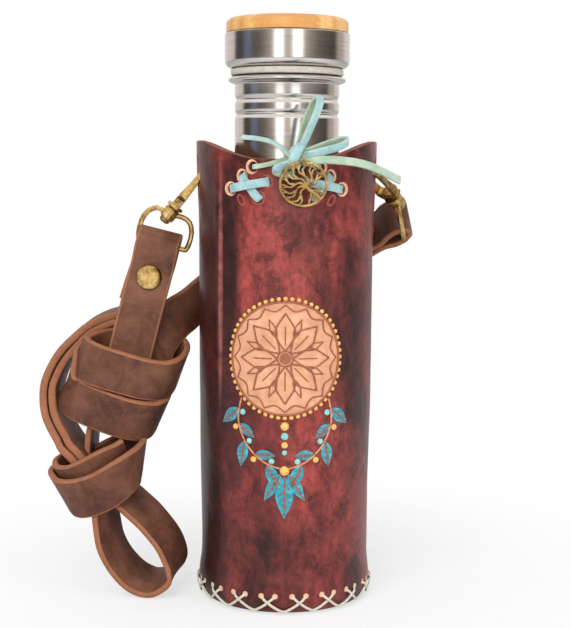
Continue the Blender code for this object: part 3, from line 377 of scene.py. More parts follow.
def band(path, ways, width, thickness, closed=False):
    """A flat strap along a path as its body and edge marks: 1 on its cut edges and ends."""
    outline = band_section(width, thickness)
    rings = []
    for point, tangent, way in zip(path, tangents_of(path, closed), ways):
        across = (way - tangent * way.dot(tangent)).normalized()
        out = tangent.cross(across)
        rings.append([point + across * x + out * y for x, y in outline])
    body = loft(rings, closed)
    count = len(outline)
    edge = width / 2 - EDGE_SHARE * thickness
    cut_edge = [abs(outline[i][0] + outline[(i + 1) % count][0]) / 2 > edge for i in range(count)]
    marks = [int(cut_edge[i % count]) for i in range(len(body[1]))]
    if not closed:
        marks[-2:] = [1, 1]
    return body, marks


def tube(path, radius, sides=8, closed=False, flat=1.0, taper=None):
    """A round or flattened cord along a path."""
    tangents = tangents_of(path, closed)
    side = tangents[0].orthogonal().normalized()
    rings = []
    for i, (point, tangent) in enumerate(zip(path, tangents)):
        side = (side - tangent * side.dot(tangent)).normalized()
        other = tangent.cross(side)
        reach = radius * (taper(i / (len(path) - 1)) if taper else 1)
        rings.append([point + side * p.x + other * p.y for p in ring_points(sides, reach, reach * flat)])
    return loft(rings, closed)


def spin(profile, steps, place=Matrix()):
    """A profile of (radius, height) turned round Z; it starts and ends on the axis or closes."""
    closed = profile[0][0] > 0
    return turned(loft([ring_points(steps, r, height=z) for r, z in profile], closed, caps=not closed), place)


def rounded(profile, reach, steps=3):
    """The corners of an open profile, rounded."""
    out = [profile[0]]
    for before, here, after in zip(profile, profile[1:], profile[2:]):
        a, b, c = Vector(before), Vector(here), Vector(after)
        near = min(reach, CORNER_SHARE * (b - a).length, CORNER_SHARE * (c - b).length)
        start = b + (a - b).normalized() * near
        end = b + (c - b).normalized() * near
        for t in (k / steps for k in range(steps + 1)):
            out.append(tuple(start * (1 - t) ** 2 + b * 2 * t * (1 - t) + end * t * t))
    out.append(profile[-1])
    return out


def wobble(point, scale, depth):
    return noise.noise(Vector(point) * scale) * depth


def outward(point):
    """Level and straight out from the case's axis."""
    return Vector((point.x, point.y, 0)).normalized()


# The case's surface, as in the part

LEATHER = 0.0032
RIM_DIP_HEIGHT = 0.2062
EAR_HEIGHT = 0.2145
EAR_RADIUS = 0.0421
TOP_RADIUS = 0.0409
MID_RADIUS = 0.0405
LOW_RADIUS = 0.0396
BULGE_RADIUS = 0.0407
FOOT_RADIUS = 0.0368
MID_HEIGHT = 0.104
LOW_HEIGHT = 0.022
BULGE_HEIGHT = 0.0085
EAR_DROP = 0.052
EAR_SPREAD = math.radians(24)
EAR_FLATTEN = 0.001
PLEAT_RISE = 0.0012
PLEAT_DIP = 0.0011
PLEAT_DROP = 0.11
PLEAT_SPREAD = math.radians(22)
DIP_ANGLE = math.radians(35)
DIP_SPREAD = math.radians(8)
RIM_CURVE = (math.radians(12), math.radians(75))
FRONT = -math.pi / 2
FOLD_RUN = (0.085, 0.208)            # heights between which the long folds run
FOLD_FADES = (0.06, 0.03)            # how far above and below these they reach their full depth
# Long folds: angle from the front, spread in degrees and depth
LONG_FOLDS = ((-50, 3.2, 0.00055), (-40, 5, -0.0007))
FRONT_BULGE = (-4, 15, 0.0009, 0.1835, 0.0085)      # angle, spread, depth, height and its spread
SLANT_DENT = (42, 5, -0.0005, 0.183, 0.012)
SLANT_FOOT = 0.19
SLANT = 14                           # radians that the dent turns for each metre down
WAVES = ((34, 0.00035), (95, 0.00012))               # scale and depth
WAVE_TOP = RIM_DIP_HEIGHT - 0.004
WAVE_FADE = 0.02
WAVE_RADIUS = 0.04
WAVE_STRETCH = 0.6


def ease(share):
    share = max(0.0, min(1.0, share))
    return share * share * (3 - 2 * share)


def between(low, high, share):
    return low + (high - low) * ease(share)


def hump(offset, spread):
    return math.exp(-(offset / spread) ** 2)


def side_angle(angle):
    return math.acos(min(1.0, abs(math.cos(angle))))


def tube_radius(height):
    if height <= BULGE_HEIGHT:
        left = 1 - max(height, 0) / BULGE_HEIGHT
        return FOOT_RADIUS + (BULGE_RADIUS - FOOT_RADIUS) * math.sqrt(1 - left * left)
    if height <= LOW_HEIGHT:
        return between(BULGE_RADIUS, LOW_RADIUS, (height - BULGE_HEIGHT) / (LOW_HEIGHT - BULGE_HEIGHT))
    if height <= MID_HEIGHT:
        return between(LOW_RADIUS, MID_RADIUS, (height - LOW_HEIGHT) / (MID_HEIGHT - LOW_HEIGHT))
    return between(MID_RADIUS, TOP_RADIUS, (height - MID_HEIGHT) / (RIM_DIP_HEIGHT - MID_HEIGHT))


def rim_height(angle):
    start, end = RIM_CURVE
    return between(EAR_HEIGHT, RIM_DIP_HEIGHT, (side_angle(angle) - start) / (end - start))


def case_radius(angle, height):
    """Outside of the case, with the folds that the lacing pulls into the leather."""
    ear = ease((height - EAR_HEIGHT + EAR_DROP) / EAR_DROP)
    radius = tube_radius(height)
    radius += ear * (EAR_RADIUS - TOP_RADIUS) * hump(side_angle(angle), EAR_SPREAD)
    radius -= ear * EAR_FLATTEN * math.sin(angle) ** 2
    front = math.remainder(angle - FRONT, math.tau)
    pleat = ease((height - RIM_DIP_HEIGHT + PLEAT_DROP) / PLEAT_DROP)
    radius += pleat * PLEAT_RISE * hump(front, PLEAT_SPREAD)
    radius -= pleat * PLEAT_DIP * hump(abs(front) - DIP_ANGLE, DIP_SPREAD)
    return radius + case_folds(front, height)


def case_folds(front, height):
    """A ridge and a valley left of the lacing, a swelling at the front, a slanting dent and gentle waves."""
    low, high = FOLD_RUN
    run = ease((height - low) / FOLD_FADES[0]) * ease((high - height) / FOLD_FADES[1])
    fold = run * sum(depth * hump(front - math.radians(middle), math.radians(spread))
                     for middle, spread, depth in LONG_FOLDS)
    for (middle, spread, depth, level, rise), lean in ((FRONT_BULGE, 0), (SLANT_DENT, SLANT)):
        aside = front - math.radians(middle) - (SLANT_FOOT - height) * lean
        fold += depth * hump(aside, math.radians(spread)) * hump(height - level, rise)
    calm = ease((height - BULGE_HEIGHT) / WAVE_FADE) * ease((WAVE_TOP - height) / WAVE_FADE)
    place = (math.cos(front) * WAVE_RADIUS, math.sin(front) * WAVE_RADIUS, height * WAVE_STRETCH)
    return fold + calm * sum(wobble(place, scale, depth) for scale, depth in WAVES)


def on_case(angle, height, offset=0.0):
    radius = case_radius(angle, height) + offset
    return Vector((radius * math.cos(angle), radius * math.sin(angle), height))


CASE_STEPS = 300
FOOT_LEVELS = 12
WALL_LEVELS = 110
RIM_SOFT = 0.0007
STRIP_WIDTH = 0.0038
SLOT_WIDTH = 0.0095
SLOT_HEIGHT = 0.0166
HOOK_HEIGHT = 0.198
SLOT_RISE = 0.0012
SLOT_STEPS = 32
LACE_HOLE_RADIUS = 0.0023
LACE_HOLE_STEPS = 24
# Holes of the lacing: across from the middle, and below the rim's dip
OUTER_HIGH = (0.0197, 0.0077)
OUTER_LOW = (0.0251, 0.0134)
INNER_HIGH = (0.0087, 0.0102)
INNER_LOW = (0.0122, 0.0172)
TOP_HOLE = (0.0148, 0.0036)
SLIT = (0.0205, 0.0182)
OUTER_HOLES = (OUTER_HIGH, OUTER_LOW, TOP_HOLE)
INNER_HOLES = (INNER_HIGH, INNER_LOW)
LACE_HOLES = (OUTER_HIGH, OUTER_LOW, *INNER_HOLES, TOP_HOLE)
SIDES = ((-1, "left"), (1, "right"))


def lace_place(hole, side):
    across, drop = hole
    height = RIM_DIP_HEIGHT - drop
    return FRONT + side * math.asin(across / tube_radius(height)), height


def cutter(outline, depth, place):
    return turned(loft([[Vector((p.x, p.y, z)) for p in outline] for z in (-depth, depth)]), place)


def slot_outline():
    half = SLOT_WIDTH / 2
    straight = SLOT_HEIGHT / 2 - half
    return [p + Vector((0, straight if p.y > 0 else -straight, 0)) for p in ring_points(SLOT_STEPS, half)]


def case_cutters():
    """The side holes and the lacing holes as one set of tools."""
    bodies = []
    turn = Matrix(((0, 0, 1), (1, 0, 0), (0, 1, 0))).to_4x4()
    for side, _ in SIDES:
        for way in (-1, 1):
            middle = way * (STRIP_WIDTH + SLOT_WIDTH) / 2
            place = Matrix.Translation((side * EAR_RADIUS, middle, HOOK_HEIGHT + SLOT_RISE)) @ turn
            bodies.append(cutter(slot_outline(), 4 * LEATHER, place))
        for hole in LACE_HOLES:
            angle, height = lace_place(hole, side)
            face = Matrix.Rotation(angle, 4, "Z") @ Matrix.Rotation(math.pi / 2, 4, "Y")
            place = Matrix.Translation(on_case(angle, height, -LEATHER / 2)) @ face
            bodies.append(cutter(ring_points(LACE_HOLE_STEPS, LACE_HOLE_RADIUS), 1.5 * LEATHER, place))
    return bodies


def cut(obj, bodies, mat):
    """Cut bodies out of a piece for good."""
    tool = make("cut_tool", bodies, [mat])
    mod = obj.modifiers.new("holes", "BOOLEAN")
    mod.object = tool
    mod.operation = "DIFFERENCE"
    mod.solver = "EXACT"
    mesh = bpy.data.meshes.new_from_object(obj.evaluated_get(bpy.context.evaluated_depsgraph_get()))
    obj.modifiers.clear()
    obj.data = mesh
    bpy.data.objects.remove(tool, do_unlink=True)


def case_piece():
    """The case: dyed outside, pale cut rim, raw inside and stitched foot."""
    levels = [BULGE_HEIGHT * (1 - math.cos(math.pi / 2 * k / FOOT_LEVELS)) for k in range(FOOT_LEVELS + 1)]
    wall = RIM_DIP_HEIGHT - BULGE_HEIGHT
    levels += [BULGE_HEIGHT + wall * k / WALL_LEVELS for k in range(1, WALL_LEVELS)]
    top = RIM_DIP_HEIGHT
    rows = [(level, 0.0, 0.0, 0) for level in levels]
    rows += [(top, 0.0, -RIM_SOFT, 0), (top, 0.25 * RIM_SOFT, -0.3 * RIM_SOFT, 1), (top, RIM_SOFT, 0.0, 1),
             (top, LEATHER - RIM_SOFT, 0.0, 1), (top, LEATHER, -RIM_SOFT, 2)]
    rows += [(level, LEATHER, 0.0, 2) for level in reversed(levels)]
    angles = [math.tau * i / CASE_STEPS for i in range(CASE_STEPS)]
    rings = []
    for level, inset, lift, _ in rows:
        follow = ease((level - MID_HEIGHT) / (RIM_DIP_HEIGHT - MID_HEIGHT))
        rings.append([on_case(angle, level + follow * (rim_height(angle) - RIM_DIP_HEIGHT) + lift, -inset)
                      for angle in angles])
    marks = [row[3] for row in rows for _ in angles]
    case = make("case_leather", [loft(rings, closed=True)], [CASE, RIM_EDGE, FLESH], marks)
    cut(case, case_cutters(), RIM_EDGE)
    shown(case, "case", "case_leather", "body_shell")


case_piece()
frame["nodes"]["base_disc"].data.materials[0] = BASE


# Base stitching: pale raw rims round the holes and two flat threads that cross

STITCH_PAIRS = 18
STITCH_HOLE_HEIGHT = 0.0085
STITCH_HOLE_SPACING = 0.0064
STITCH_RIM = (0.0001, 0.0013, 0.12)       # inner and outer reach, and lift in mm
STRAND_STEPS = 26
THREAD_WIDTH = 0.00115
THREAD_THICKNESS = 0.0006
THREAD_SINK = 0.0004
THREAD_RISE = 0.0007
RISE_SHARE = 0.16                         # share of a strand's half over which it comes out of its hole
LIFT_SHARE = 0.22                         # the same for the strands that cross over the others
STRAND_BOW = 1.3                          # how sharply a strand bends at the foot's edge
RIM_STEPS = 20
THIN_SIDE = 0.16                          # share of a rim's width on its thin side


def hole_rim(angle, height, inner, outer, lift, stretch=1.0, tilt=0.0, facing=0):
    """A pressed ring of raw leather round a hole or, stretched, a slit; facing thins it on one side."""
    radius = on_case(angle, height).xy.length
    rings = []
    for reach, rise in ((inner, -0.5), (inner * 1.08, lift), ((inner + outer) / 2, lift * 1.4), (outer, 0.05),
                        (outer, -0.5)):
        ring = []
        for p in ring_points(RIM_STEPS):
            width = THIN_SIDE + (1 - THIN_SIDE) * ease((1 + facing * p.x) / 2) if facing else 1
            far = inner + (reach - inner) * width
            along, aside = far * stretch * p.y, far * p.x
            ring.append(on_case(angle + (aside * math.cos(tilt) - along * math.sin(tilt)) / radius,
                                height + aside * math.sin(tilt) + along * math.cos(tilt), rise * MM))
        rings.append(ring)
    return loft(rings, closed=True)


def stitch_strands(name, node_name, first, lift):
    """Every second strand, from a left hole down to the foot's edge and up to the next right hole."""
    pitch = math.tau / STITCH_PAIRS
    hole = STITCH_HOLE_SPACING / 2 / BULGE_RADIUS
    bodies = []
    for pair in range(first, STITCH_PAIRS, 2):
        path = []
        for k in range(STRAND_STEPS + 1):
            away = abs(2 * k / STRAND_STEPS - 1)
            rise = THREAD_RISE * ease((1 - away) / RISE_SHARE) - THREAD_SINK
            rise += lift * ease((1 - away) / LIFT_SHARE)
            path.append(on_case(FRONT + pitch * (pair + 0.5) - hole + (pitch + 2 * hole) * k / STRAND_STEPS,
                                THREAD_WIDTH + (STITCH_HOLE_HEIGHT - THREAD_WIDTH) * away ** STRAND_BOW,
                                rise + THREAD_THICKNESS / 2))
        ways = [outward(point).cross(tangent) for point, tangent in zip(path, tangents_of(path))]
        bodies.append(band(path, ways, THREAD_WIDTH, THREAD_THICKNESS)[0])
    shown(make(name, bodies, [THREAD]), "case", "waxed_thread", node_name)


on_leather("stitch_hole_rims", [
    hole_rim(FRONT + math.tau * (pair + 0.5) / STITCH_PAIRS + way * STITCH_HOLE_SPACING / 2 / BULGE_RADIUS,
             STITCH_HOLE_HEIGHT, *STITCH_RIM) for pair in range(STITCH_PAIRS) for way in (-1, 1)], HOLE_RIM)
stitch_strands("foot_thread_under", "base_stitch_under", 0, 0.0)
stitch_strands("foot_thread_over", "base_stitch_over", 1, THREAD_THICKNESS)


# Lacing: two crossed laces at each side of the front, and raw rims

LACE_WIDTH = 0.0038
LACE_THICKNESS = 0.0013
LACE_SEAT = GAP + LACE_THICKNESS / 2
LACE_OVERREACH = 0.0008                   # how far a lace's ends run past the holes' middles
RAW_RIM = 0.0015
DYED_RIM_WIDTH = 0.0009
SLIT_RIM = (0.0011, 0.0019, 0.12, 1.7)
SLIT_TILT = math.radians(-40)


def lace_rims():
    """Raw leather shows round the outer holes; the inner ones and the slits took some dye."""
    def rims(holes, side, width, facing):
        reaches = LACE_HOLE_RADIUS, LACE_HOLE_RADIUS + width
        return [hole_rim(*lace_place(hole, side), *reaches, 0.2, facing=facing) for hole in holes]

    raw = []
    dyed = []
    for side, _ in SIDES:
        raw += rims(OUTER_HOLES, side, RAW_RIM, side)
        dyed += rims(INNER_HOLES, side, DYED_RIM_WIDTH, 0)
        dyed.append(hole_rim(*lace_place(SLIT, side), *SLIT_RIM, side * SLIT_TILT))
    on_leather("lace_hole_rims", raw, HOLE_RIM)
    on_leather("dyed_hole_rims", dyed, DYED_RIM)


def lace_piece(name, start, end, side, lift, node_name):
    """A flat lace that comes out of one hole, lies over the leather and goes into the other."""
    start = Vector(lace_place(start, side))
    end = Vector(lace_place(end, side))
    span = (on_case(*end) - on_case(*start)).length
    extra = (end - start) * LACE_OVERREACH / span
    start, end = start - extra, end + extra
    near = 0.35 * LACE_THICKNESS / span
    clear = 1.1 * LACE_HOLE_RADIUS / span
    half = [(0.0, -1.1 * LEATHER), (0.0, -0.4 * LEATHER), (near, 0.1 * LACE_THICKNESS),
            (clear, LACE_SEAT + GAP), (0.34, LACE_SEAT + lift)]
    stations = half + [(0.5, LACE_SEAT + lift)] + [(1 - share, offset) for share, offset in reversed(half)]
    points = [on_case(*start.lerp(end, share), offset) for share, offset in stations]
    path = smooth_path(points, 5)
    ways = [outward(point).cross(points[-1] - points[0]).normalized() for point in path]
    body, _ = band(path, ways, LACE_WIDTH, LACE_THICKNESS)
    shown(make(name, [body], [SUEDE]), "case", "suede_lace", node_name)


lace_rims()
for SIDE, SIDE_NAME in SIDES:
    lace_piece(f"lacing_{SIDE_NAME}_under", OUTER_HIGH, INNER_LOW, SIDE, 0.0, f"lace_{SIDE_NAME}_under")
    lace_piece(f"lacing_{SIDE_NAME}_over", OUTER_LOW, INNER_HIGH, SIDE, LACE_THICKNESS + GAP,
               f"lace_{SIDE_NAME}_over")


# Ornament painted and inlaid on the leather: a rosette in a beaded round, over a leaf garland.
# Places are mm from the rosette's centre, across and up; a lift is mm above the leather.

DISC_HEIGHT = 0.1177
DISC_RADIUS = 25.5
DISC_LIFT = 0.35
BORDER_RADIUS = 26.8
BORDER_BEADS = 56
PETALS = 8
PETAL_FOOT = 3.4
PETAL_SPREAD = math.radians(19)
CORE_RADIUS = 2.6
LINE_LIFT = 0.55
# Strokes of each petal as (places of radius and turn, thickness), drawn on both of its sides
PETAL_STROKES = (
    (((PETAL_FOOT, 0), (8, PETAL_SPREAD * 1.1), (13.5, PETAL_SPREAD), (20.5, 0)), 0.4),
    (((9.5, 0), (14, 0.1), (19, 0)), 0.3),
    (((24.2, 0), (21.6, 0.2), (24.2, math.pi / PETALS)), 0.34))
BETWEEN_PETALS = (0, math.pi / PETALS, 0)          # turn of each stroke's start from the petal's middle
PETAL_VEIN = (6, 14.5, 0.26)                       # from, to and thickness
RIM_LINES = ((DISC_RADIUS, 48, 0.5), (PETAL_FOOT, 24, 0.34))       # radius, steps and thickness
STEM_THICKNESS = 0.45
MIDRIB_THICKNESS = 0.3
VEIN_THICKNESS = 0.18
VEIN_LIFT = 0.45
GARLAND = ((20.5, -18.5), (22, -29), (17.5, -40), (9, -47.5), (0, -50.5))
LEAF_SHARES = (0.1, 0.27, 0.44, 0.61, 0.78)
LEAF_TURN = math.radians(38)
LEAF_LENGTH = 12.5
LEAF_WIDTH = 5.6
LEAF_OUTLINE = ((0, 0.03), (0.08, 0.2), (0.2, 0.38), (0.36, 0.5), (0.52, 0.49), (0.68, 0.38), (0.84, 0.2),
                (1, 0.01))
LEAF_VEINS = (0.2, 0.36, 0.52, 0.68)
END_LEAVES = (((0, -53.5), (0, -73), 8.4), ((1.6, -52.5), (9.5, -65), 5.4), ((-1.6, -52.5), (-9.5, -65), 5.4))
DROPS = ((-30.6, 2.0, "gold"), (-35.2, 1.7, "teal"), (-39.2, 1.5, "gold"), (-42.7, 1.2, "teal"),
         (-51, 2.2, "gold"))
BEAD_PROFILE = ((0, 0.62), (0.38, 0.58), (0.72, 0.42), (0.94, 0.18), (1, -0.05), (0.8, -0.35), (0, -0.4))
BEAD_STEPS = 18
BERRY_RADIUS = 1.4
BERRY_REACH = 2.6


def inlay(place, lift):
    across, up = place
    return on_case(FRONT + across * MM / TOP_RADIUS, DISC_HEIGHT + up * MM, lift * MM)


def plate(outline, lift, rings=8, depth=0.5):
    """A thin plate that hugs the leather inside a star-shaped outline, closed below."""
    centre = sum(outline, Vector((0, 0))) / len(outline)
    verts = []
    for height in (lift, lift - depth):
        for step in range(rings, 0, -1):
            verts += [inlay(centre.lerp(point, step / rings), height) for point in outline]
        verts.append(inlay(centre, height))
    count = len(outline)
    side = rings * count + 1
    pairs = [(i, (i + 1) % count) for i in range(count)]
    faces = []
    for start, turn in ((0, 1), (side, -1)):
        for low in range(start, start + (rings - 1) * count, count):
            faces += [(low + i, low + j, low + j + count, low + i + count)[::turn] for i, j in pairs]
        last = start + (rings - 1) * count
        faces += [(last + i, last + j, start + side - 1)[::turn] for i, j in pairs]
    return verts, faces + [(i, side + i, side + j, j) for i, j in pairs]


def line(points, radius, lift=LINE_LIFT):
    """A raised round line along the leather."""
    if len(points) > 2:
        return tube(smooth_path([inlay(point, lift) for point in points], 5), radius * MM, 6)
    return tube([inlay(points[0].lerp(points[1], step / 8), lift) for step in range(9)], radius * MM, 6)


def bead(place, radius, lift=0.4):
    """A flattened bead sunk a little in the leather."""
    spot = inlay(place, lift)
    turn = outward(spot).to_track_quat("Z", "Y").to_matrix().to_4x4()
    return spin([(r * radius * MM, h * radius * MM) for r, h in BEAD_PROFILE], BEAD_STEPS,
                Matrix.Translation(spot) @ turn)


def polar(radius, angle):
    return Vector((radius * math.sin(angle), radius * math.cos(angle)))


def circle(radius, steps):
    return [polar(radius, math.tau * i / steps) for i in range(steps)]


def rosette_lines():
    """Petals with veins, a ring of scallops and the rim line."""
    lines = [line(circle(radius, steps) + [polar(radius, math.tau)], width)
             for radius, steps, width in RIM_LINES]
    near, far, thin = PETAL_VEIN
    for angle in (math.tau * i / PETALS for i in range(PETALS)):
        for side in (1, -1):
            for (places, width), shift in zip(PETAL_STROKES, BETWEEN_PETALS):
                start = angle + shift
                lines.append(line([polar(radius, start + side * turn) for radius, turn in places], width))
        lines.append(line((polar(near, angle), polar(far, angle)), thin))
    return lines


def leaf(top, tip, width):
    """Blade and veins of one leaf."""
    top, tip = Vector(top), Vector(tip)
    along = tip - top
    aside = Vector((-along.y, along.x)).normalized()
    edge = [top + along * share + aside * width * reach for share, reach in LEAF_OUTLINE]
    edge += [top + along * share - aside * width * reach for share, reach in reversed(LEAF_OUTLINE)]
    midrib = (top - along * 0.08, top + along * 0.5 + aside * 0.15, top + along * 0.93)
    veins = [line(midrib, MIDRIB_THICKNESS)]
    for side in (1, -1):
        for share in LEAF_VEINS:
            reach = width * 0.36 * math.sin(math.pi * (share + 0.12))
            start = top + along * share
            end = start + aside * side * reach + along.normalized() * reach * 0.8
            veins.append(line((start, end), VEIN_THICKNESS, VEIN_LIFT))
    return plate(edge, DISC_LIFT, 6), veins


def garland():
    """Stems, leaves as (top, tip, width) and beads of the garland, the same on both sides."""
    stems = []
    leaves = list(END_LEAVES)
    beads = [((0, up), radius, kind) for up, radius, kind in DROPS]
    for side in (1, -1):
        path = [p.xy for p in smooth_path([(side * x, y, 0) for x, y in GARLAND], 12)]
        stems.append(line(path[::6], STEM_THICKNESS, DISC_LIFT))
        for number, share in enumerate(LEAF_SHARES):
            place = round(share * (len(path) - 1))
            base = path[place]
            away, size, kind = (-side, 0.8, "gold") if number % 2 else (side, 1.0, "teal")
            way = (path[place + 1] - base).normalized()
            way.rotate(Matrix.Rotation(away * LEAF_TURN, 2))
            leaves.append((base + way * 0.8, base + way * LEAF_LENGTH * size, LEAF_WIDTH * size))
            beads.append((base + Vector((way.y, -way.x)) * away * BERRY_REACH, BERRY_RADIUS, kind))
    return stems, leaves, beads


def ornament():
    on_leather("rosette_disc", [plate(circle(DISC_RADIUS, 96), DISC_LIFT, 24)], TAN_DYE)
    on_leather("rosette_core", [plate(circle(CORE_RADIUS, 24), LINE_LIFT, 3)], LINE_DYE)
    on_leather("rosette_lines", rosette_lines(), LINE_DYE)
    border = circle(BORDER_RADIUS, BORDER_BEADS)
    on_leather("rosette_border", [bead(place, 1.0, 0.1) for place in border], GOLD_BEAD)
    stems, leaves, beads = garland()
    on_leather("garland_stems", stems, STEM_DYE)
    for colour, mat in (("gold", GOLD_BEAD), ("teal", TEAL_BEAD)):
        chosen = [bead(place, radius) for place, radius, kind in beads if kind == colour]
        on_leather(f"beads_{colour}", chosen, mat)
    made = [leaf(*places) for places in leaves]
    on_leather("garland_leaves", [blade for blade, _ in made], TEAL_DYE)
    on_leather("garland_veins", [vein for _, veins in made for vein in veins], LINE_DYE)


ornament()


# Bottle and lid, turned finer than the solids

BOTTLE_SEAT = 0.0035
BOTTLE_RADIUS = 0.034
BOTTLE_WALL = 0.001
BOTTLE_CORNER = 0.006
NECK_RADIUS = 0.0243
MOUTH_RADIUS = 0.0222
MOUTH_HEIGHT = 0.2442
NECK_START = 0.199
SHOULDER = 0.172
SHOULDER_SHARES = ((1.0, 0.0), (0.93, 0.3), (0.72, 0.55), (0.38, 0.78), (0.12, 0.92), (0.0, 1.0))
BEAD_RADIUS = 0.0274
BEAD_HEIGHT = 0.2425
BEAD_HALF = 0.0016
GROOVES = (0.2265, 0.2333)
GROOVE_DEPTH = 0.0007
GROOVE_HALF = 0.0016
GROOVE_FLOOR = 0.0004
LID_RADIUS = 0.029
LID_WALL = 0.0012
LID_FOOT_CORNER = 0.0021
PLUG_HOLE = 0.0217
BAND_FOOT = 0.2478
BAND_TOP = 0.2636
WOOD_HEIGHT = 0.0066
SEAL = (0.0225, 0.0262, 0.2445, 0.2475)            # inner and outer radius, low and high
TURN = 144
STEEL_SOFT = 0.0008               # reach of the rounded corners of the steel
LID_SOFT = 0.0016
SEAL_SOFT = 0.0008
SEAL_EDGE = (0.0003, 0.0007)      # how far in and up the seal's corners are broken
BEAD_FOOT = 0.0004                # level stretch below the neck's bead
BASE_INSIDE = 0.005               # how far in the bottle's inside corner reaches
BAND_EDGE = 0.0002
FLOOR_SLOPE = (0.002, 0.003)      # inside corner of the lid's band, in and up
WOOD_INSET = 0.0007               # how far the wood stays inside the band
WOOD_FOOT = 0.0003
WOOD_CROWN = (0.0018, 0.0014)     # the wood's top corner, in and down


def turned_piece(name, profile, mat, body, slot, node_name):
    shown(make(name, [spin(profile, TURN)], [mat], angle=50), body, slot, node_name)


def bottle_piece():
    shoulder = [(NECK_RADIUS + (BOTTLE_RADIUS - NECK_RADIUS) * out, SHOULDER + (NECK_START - SHOULDER) * up)
                for out, up in SHOULDER_SHARES]
    outside = [(0, BOTTLE_SEAT), (BOTTLE_RADIUS - BOTTLE_CORNER, BOTTLE_SEAT),
               (BOTTLE_RADIUS, BOTTLE_SEAT + BOTTLE_CORNER), *shoulder]
    for height in GROOVES:
        outside += [(NECK_RADIUS - deep, height + off) for deep, off in (
            (0, -GROOVE_HALF), (GROOVE_DEPTH, -GROOVE_FLOOR), (GROOVE_DEPTH, GROOVE_FLOOR), (0, GROOVE_HALF))]
    outside.append((NECK_RADIUS, BEAD_HEIGHT - BEAD_HALF - BEAD_FOOT))
    proud = BEAD_RADIUS - NECK_RADIUS
    outside += [(NECK_RADIUS + proud * math.sin(a), BEAD_HEIGHT - BEAD_HALF * math.cos(a))
                for a in map(math.radians, range(15, 180, 15))]
    outside += [(NECK_RADIUS, MOUTH_HEIGHT), (MOUTH_RADIUS, MOUTH_HEIGHT)]
    inside = [(MOUTH_RADIUS, NECK_START + BOTTLE_WALL)]
    inside += [(r - BOTTLE_WALL if r > NECK_RADIUS + BOTTLE_WALL else MOUTH_RADIUS, z - BOTTLE_WALL)
               for r, z in reversed(shoulder[:-1])]
    inner = BOTTLE_RADIUS - BOTTLE_WALL
    inside += [(inner, BOTTLE_SEAT + BOTTLE_CORNER), (inner - BASE_INSIDE, BOTTLE_SEAT + BOTTLE_WALL),
               (0, BOTTLE_SEAT + BOTTLE_WALL)]
    profile = rounded(outside, STEEL_SOFT) + inside
    turned_piece("bottle_skin", profile, STEEL, "bottle", "brushed_steel", "bottle_body")


def lid_pieces():
    inner = LID_RADIUS - LID_WALL
    profile = rounded([(PLUG_HOLE, BAND_FOOT), (LID_RADIUS - LID_FOOT_CORNER, BAND_FOOT),
                       (LID_RADIUS, BAND_FOOT + LID_FOOT_CORNER), (LID_RADIUS, BAND_TOP - BAND_EDGE),
                       (LID_RADIUS - BAND_EDGE, BAND_TOP), (inner, BAND_TOP)], LID_SOFT, 5)
    floor_top = BAND_FOOT + LID_WALL
    slope_in, slope_up = FLOOR_SLOPE
    profile += [(inner, BAND_FOOT + slope_up), (inner - slope_in, floor_top), (PLUG_HOLE, floor_top)]
    turned_piece("lid_band_skin", profile, STEEL, "lid", "brushed_steel", "lid_band")
    edge = LID_RADIUS - WOOD_INSET
    low = BAND_TOP + GAP
    high = low + WOOD_HEIGHT
    crown_in, crown_down = WOOD_CROWN
    profile = rounded([(0, low), (edge - WOOD_FOOT, low), (edge, low + WOOD_FOOT), (edge, high - crown_down),
                       (edge - crown_in, high), (0, high)], LID_SOFT, 5)
    turned_piece("lid_top_wood", profile, BAMBOO, "lid", "bamboo", "lid_top")
    inner, edge, low, high = SEAL
    aside, up = SEAL_EDGE
    profile = rounded([(inner, low), (edge - aside, low), (edge, low + up), (edge, high - up),
                       (edge - aside, high), (inner, high)], SEAL_SOFT, 4)
    turned_piece("lid_seal_ring", profile, SILICONE, "seal", "silicone", "lid_seal")
    frame["nodes"]["lid_plug"].data.materials[0] = PLUG


bottle_piece()
lid_pieces()


# Shoulder strap: stations along each run in mm. The wraps have an upper edge point (across, back, up)
# and the lower edge's across and up; the lower edge lies a fixed way further back.

STRAP_WIDTH = 0.0205
STRAP_THICKNESS = 0.003
ARC_THICKNESS = 0.0037                    # the free runs show their swollen flesh edge
RING_WIRE = 0.00125
LEFT_BAR = Vector((-0.05833, 0.0, 0.16588))
LEFT_FOLD = LEFT_BAR + Vector((-0.0012, 0, 0.0027))      # the loose fold rises over the bar
UPPER_WRAP_MOUTH = Vector((-0.0702, -0.0105, 0.112))
RIGHT_BAR = Vector((0.05593, 0.02633, 0.1773))
LEFT_BAR_WAY = Vector((0.97, 0, -0.24)).normalized()
RIGHT_BAR_WAY = Vector((0.11, -0.65, -0.75)).normalized()
RIGHT_RUN = Vector((-0.79, 0.53, -0.31))
RIVET_DROP = 0.0192
RIVET_RADIUS = 0.006
CAP_FOOT = 0.0003                 # how deep the rivet's shaft starts under its cap
FOLD_SWELL = 0.001                # how much wider than the ring a fold stands
LEFT_TAB = 0.032                  # lengths below the ring's bar
LEFT_LENGTH = 0.064
LEFT_DRIFT = 0.0036               # how far the left end's run comes forward
LEFT_ASIDE = -0.0012              # how far its tab lies aside
RIGHT_TAB = 0.028
RIGHT_LENGTH = 0.034
BACK_END = math.radians(158)
BACK_END_DROP = 0.845
BACK_CLEARANCE = 0.0012
BACK_SETTLE_SHARE = 0.5
BACK_STEPS = 12
WRAP_BACK = 5.2
